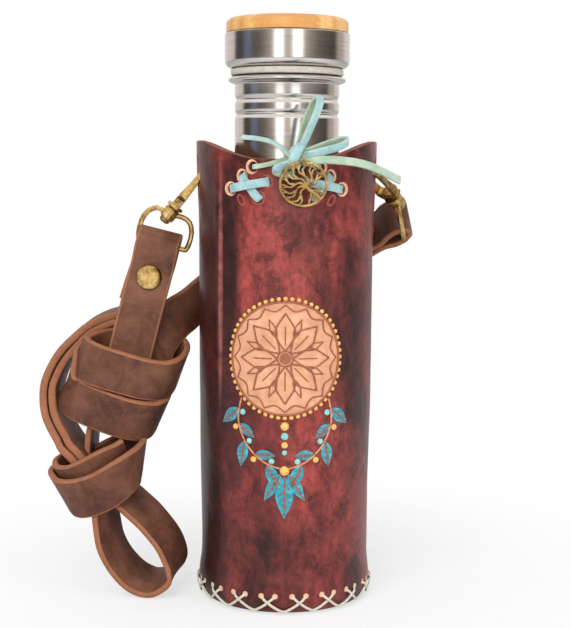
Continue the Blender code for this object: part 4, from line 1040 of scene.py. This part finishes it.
UPPER_EDGES = (
    (-93.4, -2.6, 122.6, -100.7, 102.7), (-90, -10.1, 121.7, -97.7, 101.5), (-83.3, -15.1, 120, -91.3, 99.4),
    (-72.7, -18.4, 117.2, -80.6, 97.1), (-61.6, -18.8, 114.5, -69.4, 93.9),
    (-53.1, -16.1, 113.8, -60.8, 92.5), (-47.5, -10.6, 116.1, -55.6, 94.4),
    (-45.7, -2.6, 119.3, -53.9, 97.8), (-48, 4.4, 122.7, -56.8, 101.1),
    (-57, 8.9, 125, -66.4, 103.8), (-70.6, 10.4, 125.8, -80.2, 105.1), (-83.6, 9.4, 125, -92.3, 104.2),
    (-94.2, 5.9, 119.1, -102.6, 98.4), (-99.2, -0.6, 108.5, -107, 89.2), (-97.3, -4.1, 104, -105.4, 83.1),
    (-91.5, -8.1, 102.2, -99.3, 79.5), (-81.1, -12.9, 99.2, -88.7, 76.1), (-69.2, -15.2, 95.4, -76.6, 73.4),
    (-60.1, -13, 93.6, -68.4, 73.5), (-55.4, -7.6, 95, -64.1, 75.5), (-55, -1.1, 97.5, -63.3, 77.6),
    (-59.8, 5.4, 99.3, -67.3, 79.3), (-69.4, 9.4, 101.1, -77.5, 81), (-83, 9.9, 102.5, -90.7, 82.9))
LOWER_EDGES = (
    (-111.6, -6.6, 61.4, -102.1, 40.6), (-109.9, -12.6, 58.9, -99.8, 38.3),
    (-105.8, -17.6, 57.2, -97.1, 38.1), (-98.3, -20.7, 57.5, -92.9, 38.2),
    (-87, -21.4, 61.9, -85.2, 40.1), (-75.5, -19.8, 68.9, -76.9, 45.9),
    (-68.7, -15.6, 73.9, -71.2, 51.2), (-66.4, -8.6, 75.8, -69.5, 55.3), (-69.5, -1.6, 76.8, -71.7, 57.1),
    (-80.6, 3.4, 72.9, -80.1, 53), (-94.4, 4.9, 67.1, -89.6, 46.2), (-106.4, 0.9, 63.6, -97.9, 42.2))
INNER_WRAP_BACK = 4.4
INNER_EDGES = (
    (-108, -0.7, 66.4, -98.5, 45.3), (-109.9, -6.2, 65.2, -100.1, 44.2), (-107.5, -12.4, 63.4, -98.7, 42.8),
    (-101.3, -16.1, 63.5, -95.2, 43.3), (-94, -17.3, 66.9, -89.8, 46), (-84.8, -15.9, 71.3, -83.4, 50.5),
    (-78.5, -13.4, 73.9, -78.9, 52.8), (-73.3, -10.2, 76.6, -75.4, 55.9))
BACK_RUN_BACK = 1.0
BACK_EDGES = (
    (-47.7, 8.5, 144.9, -45.5, 123.5), (-54, 3.5, 140.6, -49.5, 120.8), (-60.4, -0.5, 134.8, -53.5, 116),
    (-65.8, -3.5, 127.5, -57.1, 110.7), (-69.5, -5.5, 119.2, -59.4, 102.4))
# The runs seen edge-on, along their near edge
OUTER_NEAR = (
    (-69.4, 8, 130.5), (-76.6, 8, 131.9), (-83.2, 8, 130.6), (-91, 7.8, 127.8), (-98.5, 7.2, 123),
    (-108.4, 5.5, 113), (-114.3, 3.5, 101.8), (-115.6, 1, 91.6), (-112.8, -2.5, 80.7),
    (-105.2, -8.5, 69.6), (-100, -12.5, 64.6), (-96.1, -13.6, 60.1))
INNER_NEAR = (
    (-71.8, 8, 127.2), (-78.5, 8, 128.2), (-84.6, 8, 126.9), (-91, 7.8, 123.9), (-96.9, 7.2, 119.6),
    (-105.6, 5.5, 109.6), (-110.3, 3.5, 100), (-111.3, 1, 91.8), (-108.6, -2.5, 82), (-101.2, -8.5, 71.5),
    (-96.2, -12.5, 66.4), (-92.3, -13.6, 62))
CORE_NEAR = (
    (-81, -2, 109.9), (-86.1, -2, 97.1), (-91.6, -2, 82.5), (-93.8, -5, 69.4), (-92.4, -9, 55))
LOOP_NEAR = (
    (-87.4, -9.5, 52.4), (-88.3, -12.3, 44.9), (-88.4, -14.3, 37.5), (-87.9, -16, 30.4),
    (-85.7, -17.6, 20.3), (-80.5, -18.3, 11.1), (-73.3, -18.4, 3.9), (-65.5, -18.2, 1.5),
    (-58.2, -18.2, 4.4), (-55.3, -18.3, 9.1), (-55.6, -18.2, 15), (-59.3, -17.8, 23), (-66.6, -16.6, 32),
    (-74.6, -14.8, 39), (-79.9, -13.5, 43.5), (-83.4, -11.5, 47.6), (-85.1, -9, 52.3))
LOOP_WAY = Vector((0.34, 0.86, 0.376)).normalized()
ARC_WAY = Vector((0.08, 1, 0.06)).normalized()
RUN_SAMPLES = 8
CAP_PROFILE = ((0, 1.7), (0.3, 1.65), (0.58, 1.45), (0.8, 1.1), (0.94, 0.6), (1, 0.1), (0.97, -0.3))
RIVET_HOLE = 0.0017
UNEVEN = (90, 0.00018)                    # scale and depth of the hand-cut unevenness


def strap(name, path, ways, node_name, closed=False, thick=STRAP_THICKNESS):
    """One run of the strap, a little uneven in width and flatness as hand-cut leather is."""
    (verts, faces), marks = band(path, ways, STRAP_WIDTH, thick, closed)
    shift = Vector((3, 0, 0))
    verts = [v + Vector((wobble(v, *UNEVEN), wobble(v + shift, *UNEVEN), 0)) for v in verts]
    shown(make(name, [(verts, faces)], [STRAP, STRAP_EDGE], marks), "strap", "strap_leather", node_name)


def between_edges(table, back):
    """Middle line and width ways from the upper and lower edges."""
    ends = [(Vector((a, b, c)), Vector((d, b + back, e))) for a, b, c, d, e in table]
    return [(high + low) / 2 * MM for high, low in ends], [(high - low).normalized() for high, low in ends]


def edged_run(name, table, back, node_name, closed=False):
    runs = between_edges(table, back)
    if closed:
        path, ways = (smooth_path([run[-1], *run, run[0], run[1]], RUN_SAMPLES)[RUN_SAMPLES:-RUN_SAMPLES - 1]
                      for run in runs)
    else:
        path, ways = (smooth_path(run, RUN_SAMPLES) for run in runs)
    strap(name, path, ways, node_name, closed)


def near_run(name, table, way, node_name, thick=STRAP_THICKNESS):
    path = smooth_path([Vector(place) * MM + way * STRAP_WIDTH / 2 for place in table], RUN_SAMPLES)
    strap(name, path, [way] * len(path), node_name, thick=thick)


def folded_end(name, bar, width_way, down_way, tab, run, node_name, front_run=False, drift=0.0, aside=0.0):
    """The strap's end, folded round the ring's bar and held by a rivet; the short end is its tab."""
    fold = RING_WIRE + GAP + STRAP_THICKNESS / 2
    layer = STRAP_THICKNESS / 2 + GAP
    down_way = (down_way - width_way * down_way.dot(width_way)).normalized()
    through = down_way.cross(width_way).normalized()
    out = -through if front_run else through
    close = RIVET_DROP - 1.15 * RIVET_RADIUS
    swell = fold + FOLD_SWELL
    places = [(tab, layer, aside), (RIVET_DROP, layer, aside / 2), (close, layer, 0),
              (close * 0.55, swell, 0), (fold / 2, swell, 0)]
    places += [(-fold * math.cos(a), fold * math.sin(a), 0) for a in map(math.radians, range(90, -91, -15))]
    places += [(fold / 2, -swell, 0), (close * 0.55, -swell, 0), (close, -layer, 0), (RIVET_DROP, -layer, 0)]
    places += [(RIVET_DROP + (run - RIVET_DROP) * share, -layer + drift * ease(share), 0)
               for share in (0.3, 0.55, 0.8, 1.0)]
    path = smooth_path([bar + down_way * drop + out * side + width_way * across
                        for drop, side, across in places], 3)
    strap(name, path, [width_way] * len(path), node_name)
    hole = Matrix((down_way, width_way, through)).transposed().to_4x4()
    return path[-1], Matrix.Translation(bar + down_way * RIVET_DROP) @ hole


def rivet(name, place, node_name):
    """Domed caps on both sides of the strap."""
    seat = STRAP_THICKNESS + 2 * GAP
    cap = [(RIVET_RADIUS * share, seat + rise * MM) for share, rise in CAP_PROFILE]
    cap.append((RIVET_HOLE, seat - CAP_FOOT))
    body = spin(cap + [(r, -z) for r, z in reversed(cap)], 48, place)
    shown(make(name, [body], [BRASS], angle=60), "strap", "antique_brass", node_name)


def back_run(start):
    """The strap behind the case, from the right end into the upper wrap."""
    way = RIGHT_RUN.normalized()
    way = (way - RIGHT_BAR_WAY * way.dot(RIGHT_BAR_WAY)).normalized()
    turn = start + way * STRAP_THICKNESS
    first_angle = math.atan2(turn.y, turn.x)
    points = [start + way * 2 * GAP, turn]
    ways = [-RIGHT_BAR_WAY] * 2
    for share in (i / BACK_STEPS for i in range(1, BACK_STEPS)):
        angle = first_angle + (BACK_END - first_angle) * share
        height = turn.z + (LEFT_BAR.z * BACK_END_DROP - turn.z) * share
        settle = min(1, share / BACK_SETTLE_SHARE)
        settled = case_radius(angle, height) + STRAP_THICKNESS / 2 + BACK_CLEARANCE
        reach = between(turn.xy.length, settled, settle)
        points.append(Vector((reach * math.cos(angle), reach * math.sin(angle), height)))
        ways.append((-RIGHT_BAR_WAY).lerp(Vector((0, 0, 1)), ease(settle)))
    middle, more = between_edges(BACK_EDGES, BACK_RUN_BACK)
    strap("strap_behind_case", smooth_path(points + middle, 4), smooth_path(ways + more, 4), "strap_back_run")


def shoulder_strap():
    _, hole = folded_end("strap_left", LEFT_FOLD, LEFT_BAR_WAY, UPPER_WRAP_MOUTH - LEFT_FOLD, LEFT_TAB,
                         LEFT_LENGTH, "strap_end_left", front_run=True, drift=LEFT_DRIFT, aside=LEFT_ASIDE)
    rivet("rivet_left", hole, "left_rivet")
    end, hole = folded_end("strap_right", RIGHT_BAR, RIGHT_BAR_WAY, RIGHT_RUN, RIGHT_TAB, RIGHT_LENGTH,
                           "strap_end_right")
    rivet("rivet_right", hole, "right_rivet")
    back_run(end)
    edged_run("strap_wrap_upper", UPPER_EDGES, WRAP_BACK, "strap_upper_wrap")
    edged_run("strap_wrap_lower", LOWER_EDGES, WRAP_BACK, "strap_lower_wrap", closed=True)
    edged_run("strap_wrap_inner", INNER_EDGES, INNER_WRAP_BACK, "strap_inner_wrap")
    near_run("strap_arc_outer", OUTER_NEAR, ARC_WAY, "strap_outer_arc", ARC_THICKNESS)
    near_run("strap_arc_inner", INNER_NEAR, ARC_WAY, "strap_inner_arc", ARC_THICKNESS)
    near_run("strap_core", CORE_NEAR, ARC_WAY, "strap_inner_arc")
    near_run("strap_loop", LOOP_NEAR, LOOP_WAY, "strap_bottom_loop")


shoulder_strap()


# Hooks and rings: the part's own solids with broken edges

SOFT_EDGE = 0.0004
for NAME in ("hook_body", "hook_gate", "eye_ring"):
    for _, SIDE_NAME in SIDES:
        FITTING = frame["nodes"][f"{SIDE_NAME}_{NAME}"]
        FITTING.data.materials[0] = BRASS
        EDGES = FITTING.modifiers.new("soft edges", "BEVEL")
        EDGES.width = SOFT_EDGE
        EDGES.segments = 2
        EDGES.limit_method = "ANGLE"
        EDGES.angle_limit = math.radians(35)


# Bow of flat suede lace; places are shares of its reach from the knot's centre, right, back and up

BOW_REACH = 0.025
KNOT = Vector((0.0042, -0.04507, 0.2070))
KNOT_TURN = 0.1                   # the knot sits this far right of the middle, in radians
LEFT_TAIL_SHARES = ((-0.06, -0.06, -0.02), (-0.17, 0.0, 0.08), (-0.4, 0.0, 0.24), (-0.65, 0.03, 0.31),
                    (-0.95, 0.12, 0.34))
RIGHT_TAIL_SHARES = ((0.178, -0.03, -0.1), (0.44, -0.06, -0.05), (0.8, 0.0, -0.06), (1.1, 0.1, -0.1),
                     (1.4, 0.24, -0.19), (1.85, 0.5, -0.4))
LOOP_SHARES = ((0.1, 0.3), (0.4, 0.75), (0.72, 1.0), (0.92, 0.8))      # along, and aside to the near run
# Loops: name, node, tip, near run's side, opening, way across the lace, and which face is outside
LOOPS = (
    ("bow_loop_high", "bow_loop_upper", (0.38, -0.04, 1.02), (0.57, -0.82, -0.1), 0.0026, (0.78, 0.62, 0.0),
     (SUEDE_BACK, SUEDE)),
    ("bow_loop_side", "bow_loop_right", (0.89, 0.05, 0.28), (0.1, -0.8, -0.6), 0.0021, (0.0, -0.55, 0.83),
     (SUEDE, SUEDE_BACK)))
# The knot's turns: reach, depth, long axis, shift and way across the lace
KNOT_TURNS = (
    (0.0052, 0.0046, (0.42, 0, 0.91), (-0.0004, 0, 0.0004), (0.91, 0, -0.42)),
    (0.0046, 0.0036, (0.93, 0, 0.36), (-0.0006, -0.0001, -0.0022), (-0.36, 0, 0.93)))
KNOT_FOLD = ((-0.06, -0.1, -0.1), (-0.2, -0.1, -0.14), (-0.33, -0.05, -0.2), (-0.34, 0.0, -0.26),
             (-0.2, 0.01, -0.29), (-0.02, 0.02, -0.3))
KNOT_HEART = (0.0036, 0.0028, 0.0052)      # reaches of the lump inside, right, back and up
STITCH_WIDTH = 0.0022
STITCH_RISE = 0.0005              # how far above the rim the rim stitches end
STITCH_SPREAD = 0.04              # radians between their ends and the knot
# Rim stitches: shares of the way round, out and up
STITCH_STOPS = ((0.0, -1.0, 0.0), (0.0, -0.3, 0.0), (0.08, LACE_SEAT / LEATHER + 0.1, 0.02),
                (0.4, 0.45, 0.25), (0.75, 0.6, 0.7), (1.0, 1.0, 1.0))


def bow_path(places):
    return [KNOT + Vector(shares) * BOW_REACH for shares in places]


def lace(path, ways, samples=5, width=LACE_WIDTH):
    """A lace through the points, its width turning from way to way, as its middle line and body."""
    fine = smooth_path(path, samples)
    across = []
    for i in range(len(fine)):
        low = min(i // samples, len(ways) - 2)
        across.append(Vector(ways[low]).lerp(Vector(ways[low + 1]), i / samples - low))
    return fine, band(fine, across, width, LACE_THICKNESS)[0]


def lace_object(name, bodies, mats, *nodes):
    """A lace in the materials of its two faces."""
    count = len(band_section(LACE_WIDTH, LACE_THICKNESS))
    marks = [int(i % count > count / 2) for i in range(sum(len(faces) for _, faces in bodies))]
    return shown(make(name, bodies, mats, marks), "case", "suede_lace", *nodes)


def bow_pieces():
    for name, node_name, tip, near, opening, way, mats in LOOPS:
        sides = [*LOOP_SHARES, (1.0, 0.0), *((along, -side) for along, side in reversed(LOOP_SHARES))]
        path = [KNOT + Vector(tip) * along * BOW_REACH + Vector(near) * opening * side
                for along, side in sides]
        lace_object(name, [lace(path, [way] * len(path), 6)[1]], mats, node_name)
    path = bow_path(LEFT_TAIL_SHARES)
    _, body = lace(path, [(0, 1, 0.5)] * 2 + [(0, 1, 0.3)] * (len(path) - 2))
    lace_object("bow_tail_short", [body], (SUEDE_BACK, SUEDE), "bow_tail_left")
    path = bow_path(RIGHT_TAIL_SHARES)
    fine, body = lace(path, [(0, 0.5, 0.86)] * (len(path) - 2) + [(0.2, 0.55, 0.8)] * 2)
    tail = lace_object("bow_tail_long", [body], (SUEDE_BACK, SUEDE_BACK), "bow_tail_right")


def knot_piece():
    """The knot: one lace wound twice round the others, with a small fold below it at the left."""
    bodies = []
    for reach, depth, axis, shift, way in KNOT_TURNS:
        path = [KNOT + Vector(shift) + Vector(axis) * p.x + Vector((0, 1, 0)) * p.y
                for p in ring_points(28, reach, depth)]
        bodies.append(band(path, [Vector(way)] * len(path), LACE_WIDTH * 1.1, LACE_THICKNESS, closed=True)[0])
    bodies.append(lace(bow_path(KNOT_FOLD), [(0.1, -0.6, 0.8)] * len(KNOT_FOLD))[1])
    right, back, up = KNOT_HEART
    bodies.append(loft([[KNOT + p for p in ring_points(24, right * math.sin(tilt), back * math.sin(tilt),
                                                       -up * math.cos(tilt))]
                        for tilt in (math.pi * row / 12 for row in range(1, 12))]))
    lace_object("bow_knot_wound", bodies, (SUEDE_BACK, SUEDE), "bow_knot")


def rim_stitches():
    """Short lace stitches from the rim's holes up under the knot."""
    for side, name in SIDES:
        angle, height = lace_place(TOP_HOLE, side)
        turn = FRONT + KNOT_TURN + side * STITCH_SPREAD - angle
        rise = RIM_DIP_HEIGHT + STITCH_RISE - height
        path = [on_case(angle + turn * share, height + rise * up, out * LEATHER)
                for share, out, up in STITCH_STOPS]
        _, body = lace(path, [(0, 0.1, 1)] * len(path), width=STITCH_WIDTH)
        lace_object(f"rim_stitch_{name}", [body], (SUEDE_BACK, SUEDE_BACK))


bow_pieces()
knot_piece()
rim_stitches()


# Charm: an openwork tree in a ring, grown by rule

CHARM_CENTRE = Vector((0.0074, -0.0465, 0.1953))
CHARM_RADIUS = 0.0108
CHARM_RIM = 0.0013
CHARM_INSIDE = CHARM_RADIUS - CHARM_RIM
CHARM_LEAN = math.radians(20)
CHARM_UP = Vector((0, -math.sin(CHARM_LEAN), math.cos(CHARM_LEAN)))
SINK = 0.0003                     # how far the tree's ends run into the ring
TRUNK_TURN = math.radians(48)
TRUNK_RADIUS = 0.0015
FORK = Vector((0.0004, -0.0016, 0))
TRUNK = (Vector((0, -CHARM_INSIDE - SINK, 0)), Vector((0.0003, -CHARM_INSIDE * 0.7, 0)),
         Vector((-0.0002, -CHARM_INSIDE * 0.4, 0)), FORK)
BOUGHS = ((-12, 0.0052), (22, 0.0052), (58, 0.005), (92, 0.005), (126, 0.005), (160, 0.0052), (194, 0.0052))
BOUGH_RADIUS = 0.00088
ROOT_ANGLES = (235, 255, 285, 305)
ROOT_RADIUS = 0.00075
TWIG_BEND = 0.35                  # radians that a twig swings out at its middle
TWIG_STEPS = 6
TWIG_FORK = 0.36                  # turn of each new twig at a fork
SIDE_TWIG = (0.7, 0.55, 0.65)     # its turn, and its shares of the length and the radius
ROOT_START = Vector((0, -CHARM_INSIDE * 0.5, 0))
ROOT_KNEE = Vector((0.0003, -CHARM_INSIDE * 0.275, 0))        # what a root's knee stands off its middle
JUMP_RADIUS = 0.0022
JUMP_WIRE = 0.00045


def branch(twigs, start, angle, length, radius, forks, reach):
    """A wavy twig that forks until it meets the ring."""
    points = []
    bend = TWIG_BEND if forks % 2 else -TWIG_BEND
    for share in (k / TWIG_STEPS for k in range(TWIG_STEPS + 1)):
        turn = angle + bend * math.sin(math.pi * share)
        points.append(start + Vector((math.cos(turn), math.sin(turn), 0)) * length * share)
        if points[-1].length > reach:
            break
    end = points[-1]
    twigs.append((points, radius))
    if forks and end.length < reach:
        for side, share in ((-1, 0.8), (1, 0.74)):
            branch(twigs, end, angle + side * TWIG_FORK, length * share, radius * 0.8, forks - 1, reach)
        if forks > 1:
            turn, shorter, thinner = SIDE_TWIG
            branch(twigs, points[4], angle + turn, length * shorter, radius * thinner, 0, reach)


def charm_pieces():
    side = Vector((1, 0, 0))
    face = Matrix((side, CHARM_UP, side.cross(CHARM_UP))).transposed().to_4x4()
    place = Matrix.Translation(CHARM_CENTRE) @ face
    twigs = [(TRUNK, TRUNK_RADIUS)]
    for angle, length in BOUGHS:
        branch(twigs, FORK, math.radians(angle), length, BOUGH_RADIUS, 2, CHARM_INSIDE + 0.0001)
    for angle in map(math.radians, ROOT_ANGLES):
        end = Vector((math.cos(angle), math.sin(angle), 0)) * (CHARM_INSIDE + SINK)
        twigs.append(((ROOT_START, end / 2 + ROOT_KNEE, end), ROOT_RADIUS))
    leaning = place @ Matrix.Rotation(TRUNK_TURN, 4, "Z")
    bodies = [turned(tube(smooth_path(points, 3), radius, 7, flat=0.8, taper=lambda s: 1 - 0.35 * s), leaning)
              for points, radius in twigs if len(points) > 1]
    rim = ring_points(96, CHARM_RADIUS - CHARM_RIM / 2)
    bodies.append(turned(tube(rim, CHARM_RIM / 2, 12, closed=True), place))
    shown(make("charm_tree", bodies, [BRASS], angle=60), "charm", "antique_brass", "charm")
    middle = place @ Vector((0, CHARM_INSIDE + JUMP_RADIUS - JUMP_WIRE - 2 * GAP, 0))
    ring = [middle + CHARM_UP * p.x + place.col[2].xyz * p.y for p in ring_points(40, JUMP_RADIUS)]
    link = make("charm_link", [tube(ring, JUMP_WIRE, 10, closed=True)], [BRASS], angle=60)
    shown(link, "case", "antique_brass", "charm_jump_ring")


charm_pieces()


# Floor, light and camera

FLOOR_GREY = (0.9, 0.9, 0.9, 1)
FLOOR_FADE = (0.05, 0.26, 0.62, 1.0)      # reach where the fade to white begins and ends, and its shares
MATT_STRENGTH = 0.55
FLOOR_REACH = 3.0
FLOOR_DROP = 0.0004               # keeps it clear of what stands on it
LOOK_AT = Vector((0, 0, 0.12))
# Lights: name, place, size and power
LIGHTS = (("key", (-0.35, -0.9, 0.75), (0.7, 0.7), 9.0), ("fill", (0.7, -0.5, 0.4), (0.6, 0.6), 3.0))
# Colour of the room that glossy surfaces see, by angle round the object from the camera's side
PALE = (0.98, 0.9, 0.88)
STRIP = (2.6, 2.55, 2.5)
ROOM = ((-180, PALE), (-114, (0.92, 0.83, 0.8)), (-110, (0.2, 0.17, 0.15)), (-106, (0.07, 0.058, 0.05)),
        (-89, (0.07, 0.058, 0.05)), (-84, (0.17, 0.2, 0.3)), (-71, (0.18, 0.22, 0.33)),
        (-66, (0.11, 0.093, 0.08)), (-50, (0.16, 0.14, 0.12)), (-36, (0.38, 0.33, 0.29)),
        (-25, (0.6, 0.53, 0.47)), (-22.5, STRIP), (-8, STRIP), (-6, (0.64, 0.57, 0.5)),
        (9, (0.66, 0.59, 0.52)), (11, STRIP), (27, STRIP), (29.5, (0.56, 0.49, 0.43)),
        (48, (0.3, 0.26, 0.22)), (60, (0.16, 0.135, 0.115)), (97, (0.06, 0.05, 0.042)),
        (102, (0.3, 0.26, 0.23)), (107, (0.58, 0.5, 0.46)), (123, (0.62, 0.54, 0.5)),
        (130, (0.93, 0.85, 0.83)), (180, PALE))
OVERHEAD = (1.25, 1.2, 1.16, 1.0)         # light from above
OVERHEAD_SINES = (0.16, 0.5)      # where the light from above begins and where it is full
WHITE = (1.0, 1.0, 1.0, 1.0)
CAMERA_PLACE = (0, -0.636, 0.2035)
CAMERA_LENS = 77.4                # mm, on a sensor 36 mm high
CAMERA_TILT = 6.3                 # degrees below level
CAMERA_ROLL = 0.4


def floor():
    """A pale floor that keeps the case's shadow and runs out to white."""
    verts = ring_points(64, FLOOR_REACH, height=-FLOOR_DROP)
    mat = finish("floor_finish", {"grain": (60, 3)}, ("grain", ((0.3, 0.88), (0.7, 0.92))),
                 Base_Color=FLOOR_GREY, Roughness=0.75, Specular_IOR_Level=0.2)
    obj = make("floor", [(verts, [tuple(range(64))])], [mat])
    tree = mat.node_tree
    where = node(tree, "TexCoord", {}, "Object")
    reach = node(tree, "VectorMath", {0: where}, "Value", operation="LENGTH")
    far = map_range(tree, reach, *FLOOR_FADE, interpolation_type="SMOOTHSTEP")
    seen = node(tree, "LightPath", {}, "Is Camera Ray")
    share = node(tree, "Math", {0: far, 1: seen}, operation="MULTIPLY")
    blend = node(tree, "MixShader", {0: share, 1: tree.nodes["Principled BSDF"].outputs["BSDF"],
                                     2: node(tree, "Emission", {})})
    feed(tree, tree.nodes["Material Output"], {"Surface": blend})


def area_light(name, place, size, power):
    light = bpy.data.lights.new(name, "AREA")
    light.shape = "RECTANGLE"
    light.size, light.size_y = size
    light.energy = power
    obj = bpy.data.objects.new(name, light)
    obj.location = place
    obj.rotation_euler = (LOOK_AT - Vector(place)).to_track_quat("-Z", "Y").to_euler()
    obj.visible_glossy = False
    bpy.context.scene.collection.objects.link(obj)


def world():
    """Even light for matt surfaces, a studio room for glossy ones, white for the camera."""
    made = bpy.data.worlds.new("studio")
    made.use_nodes = True
    tree = made.node_tree
    split = tree.nodes.new("ShaderNodeSeparateXYZ")
    feed(tree, split, {"Vector": node(tree, "TexCoord", {}, "Generated")})
    flipped = node(tree, "Math", {0: split.outputs["Y"], 1: -1.0}, operation="MULTIPLY")
    angle = node(tree, "Math", {0: split.outputs["X"], 1: flipped}, operation="ARCTAN2")
    share = node(tree, "MapRange", {"Value": angle, "From Min": -math.pi, "From Max": math.pi})
    room = ramp(tree, share, [((degrees + 180) / 360, (*colour, 1.0)) for degrees, colour in ROOM])
    start, full = OVERHEAD_SINES
    height = node(tree, "MapRange", {"Value": split.outputs["Z"], "From Min": start, "From Max": full})
    glossy = node(tree, "Background", {"Color": mix(tree, height, room, OVERHEAD)})
    matt = tree.nodes["Background"]
    feed(tree, matt, {"Color": WHITE, "Strength": MATT_STRENGTH})
    seen = tree.nodes.new("ShaderNodeLightPath").outputs
    by_gloss = node(tree, "MixShader", {0: seen["Is Glossy Ray"], 1: matt.outputs[0], 2: glossy})
    white = node(tree, "Background", {"Color": WHITE})
    by_camera = node(tree, "MixShader", {0: seen["Is Camera Ray"], 1: by_gloss, 2: white})
    feed(tree, tree.nodes["World Output"], {"Surface": by_camera})
    bpy.context.scene.world = made


def camera():
    cam = bpy.data.cameras.new("camera")
    cam.sensor_fit = "VERTICAL"
    cam.sensor_height = 36
    cam.lens = CAMERA_LENS
    obj = bpy.data.objects.new("camera", cam)
    tilt = Matrix.Rotation(math.radians(90 - CAMERA_TILT), 4, "X")
    roll = Matrix.Rotation(math.radians(CAMERA_ROLL), 4, "Z")
    obj.matrix_world = Matrix.Translation(CAMERA_PLACE) @ tilt @ roll
    bpy.context.scene.collection.objects.link(obj)
    bpy.context.scene.camera = obj


floor()
for LIGHT in LIGHTS:
    area_light(*LIGHT)
world()
camera()
bpy.context.scene.view_settings.view_transform = "Standard"
